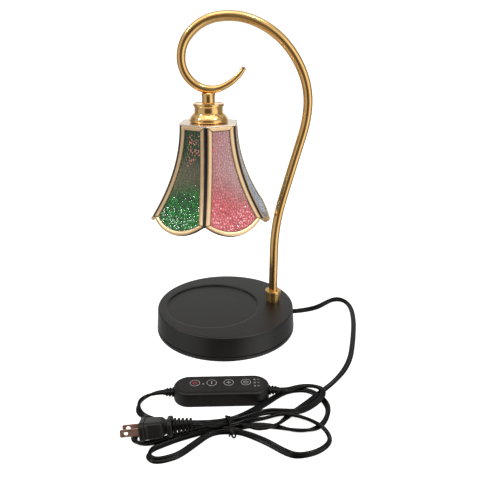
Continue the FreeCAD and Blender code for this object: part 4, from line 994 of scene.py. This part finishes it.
# ------------------------------------------------------------------ floor, light
me = bpy.data.meshes.new("floor")
me.from_pydata([(-60, -60, 0), (60, -60, 0), (60, 60, 0), (-60, 60, 0)], [], [(0, 1, 2, 3)])
floor = link(bpy.data.objects.new("floor", me))
m, nt, b, where = new_material("floor_paper")
tone = noise(nt, where, 3.0, 2.0)
nt.links.new(ramp(nt, tone, [(0.3, (0.50, 0.50, 0.50)), (0.7, (0.52, 0.52, 0.52))]), b.inputs["Base Color"])
b.inputs["Roughness"].default_value = 0.9
b.inputs["Specular IOR Level"].default_value = 0.1
# a light table: it glows a little, so that the lamp casts next to no shadow
b.inputs["Emission Color"].default_value = (1, 1, 1, 1)
b.inputs["Emission Strength"].default_value = 0.88
me.materials.append(m)
floor.visible_glossy = False

AWAY = -97.23                                  # azimuth of the camera as the lamp sees it


def sky():
    """a studio all round: soft upright panels with darker gaps between them, and a bright ceiling"""
    w = bpy.data.worlds.new("studio")
    bpy.context.scene.world = w
    w.use_nodes = True
    nt = w.node_tree
    nt.nodes.clear()
    out = nt.nodes.new("ShaderNodeOutputWorld")
    bg = nt.nodes.new("ShaderNodeBackground")
    nt.links.new(bg.outputs[0], out.inputs[0])
    tc = nt.nodes.new("ShaderNodeTexCoord")
    sep = nt.nodes.new("ShaderNodeSeparateXYZ")
    nrm = nt.nodes.new("ShaderNodeVectorMath")
    nrm.operation = "NORMALIZE"
    nt.links.new(tc.outputs["Generated"], nrm.inputs[0])
    nt.links.new(nrm.outputs[0], sep.inputs[0])
    x, y, z = sep.outputs
    flat_len = calc(nt, "MAXIMUM", calc(nt, "SQRT", calc(nt, "ADD", calc(nt, "MULTIPLY", x, x), calc(nt, "MULTIPLY", y, y))), 0.001)
    hx, hy = calc(nt, "DIVIDE", x, flat_len), calc(nt, "DIVIDE", y, flat_len)

    def panel(delta, half, soft):
        a = math.radians(AWAY + delta)
        dot = calc(nt, "ADD", calc(nt, "MULTIPLY", hx, math.cos(a)), calc(nt, "MULTIPLY", hy, math.sin(a)))
        return span(nt, dot, math.cos(math.radians(half + soft)), math.cos(math.radians(max(0, half - soft))), 0, 1, "SMOOTHSTEP")
    total = 0.30
    for delta, half, soft, gain in ((54, 22, 8, 0.95), (-62, 28, 8, 0.34), (180, 40, 14, 0.28)):
        total = calc(nt, "ADD", calc(nt, "MULTIPLY", panel(delta, half, soft), gain), total)
    front = panel(-6, 22, 9)
    total = calc(nt, "SUBTRACT", total, calc(nt, "MULTIPLY", front, 0.18))
    down = span(nt, z, -0.76, -0.42, 1, 0, "SMOOTHSTEP")
    up = span(nt, z, 0.46, 0.66, 0, 1, "SMOOTHSTEP")
    # a bright paper sweep far behind the lamp, just over the horizon
    strip = calc(nt, "MULTIPLY", span(nt, z, -0.06, -0.01, 0, 1, "SMOOTHSTEP"), span(nt, z, 0.18, 0.27, 1, 0, "SMOOTHSTEP"))
    strip = calc(nt, "MULTIPLY", strip, panel(180, 44, 6))
    for gain, level in ((down, 0.58), (up, 0.62), (strip, 1.12)):
        total = calc(nt, "ADD", calc(nt, "MULTIPLY", total, calc(nt, "SUBTRACT", 1.0, gain)), calc(nt, "MULTIPLY", gain, level))
    comb = nt.nodes.new("ShaderNodeCombineColor")
    # the gap in front is a little warm, like a wooden room behind the camera
    for i, (g, warm) in enumerate(((1.0, 0.0), (0.99, 0.20), (0.975, 0.36))):
        tint = calc(nt, "SUBTRACT", g, calc(nt, "MULTIPLY", front, warm))
        nt.links.new(calc(nt, "MULTIPLY", total, tint), comb.inputs[i])
    nt.links.new(comb.outputs[0], bg.inputs["Color"])
    bg.inputs["Strength"].default_value = 1.0


sky()


def sun(name, delta, elevation, energy, wide):
    d = bpy.data.lights.new(name, "SUN")
    d.energy, d.angle = energy, math.radians(wide)
    o = link(bpy.data.objects.new(name, d))
    a, e = math.radians(AWAY + delta), math.radians(elevation)
    to = Vector((math.cos(a) * math.cos(e), math.sin(a) * math.cos(e), math.sin(e)))
    o.rotation_mode = "QUATERNION"
    o.rotation_quaternion = to.to_track_quat("Z", "Y")
    o.location = to * 2
    return o


sun("light_right", 62, 76, 0.60, 50)
sun("light_left", -70, 76, 0.55, 50)
sun("spark_left", -76, 48, 0.5, 5)
sun("spark_right", 60, 56, 0.5, 5)

bpy.context.scene.view_settings.view_transform = "Standard"
bpy.context.scene.view_settings.look = "None"
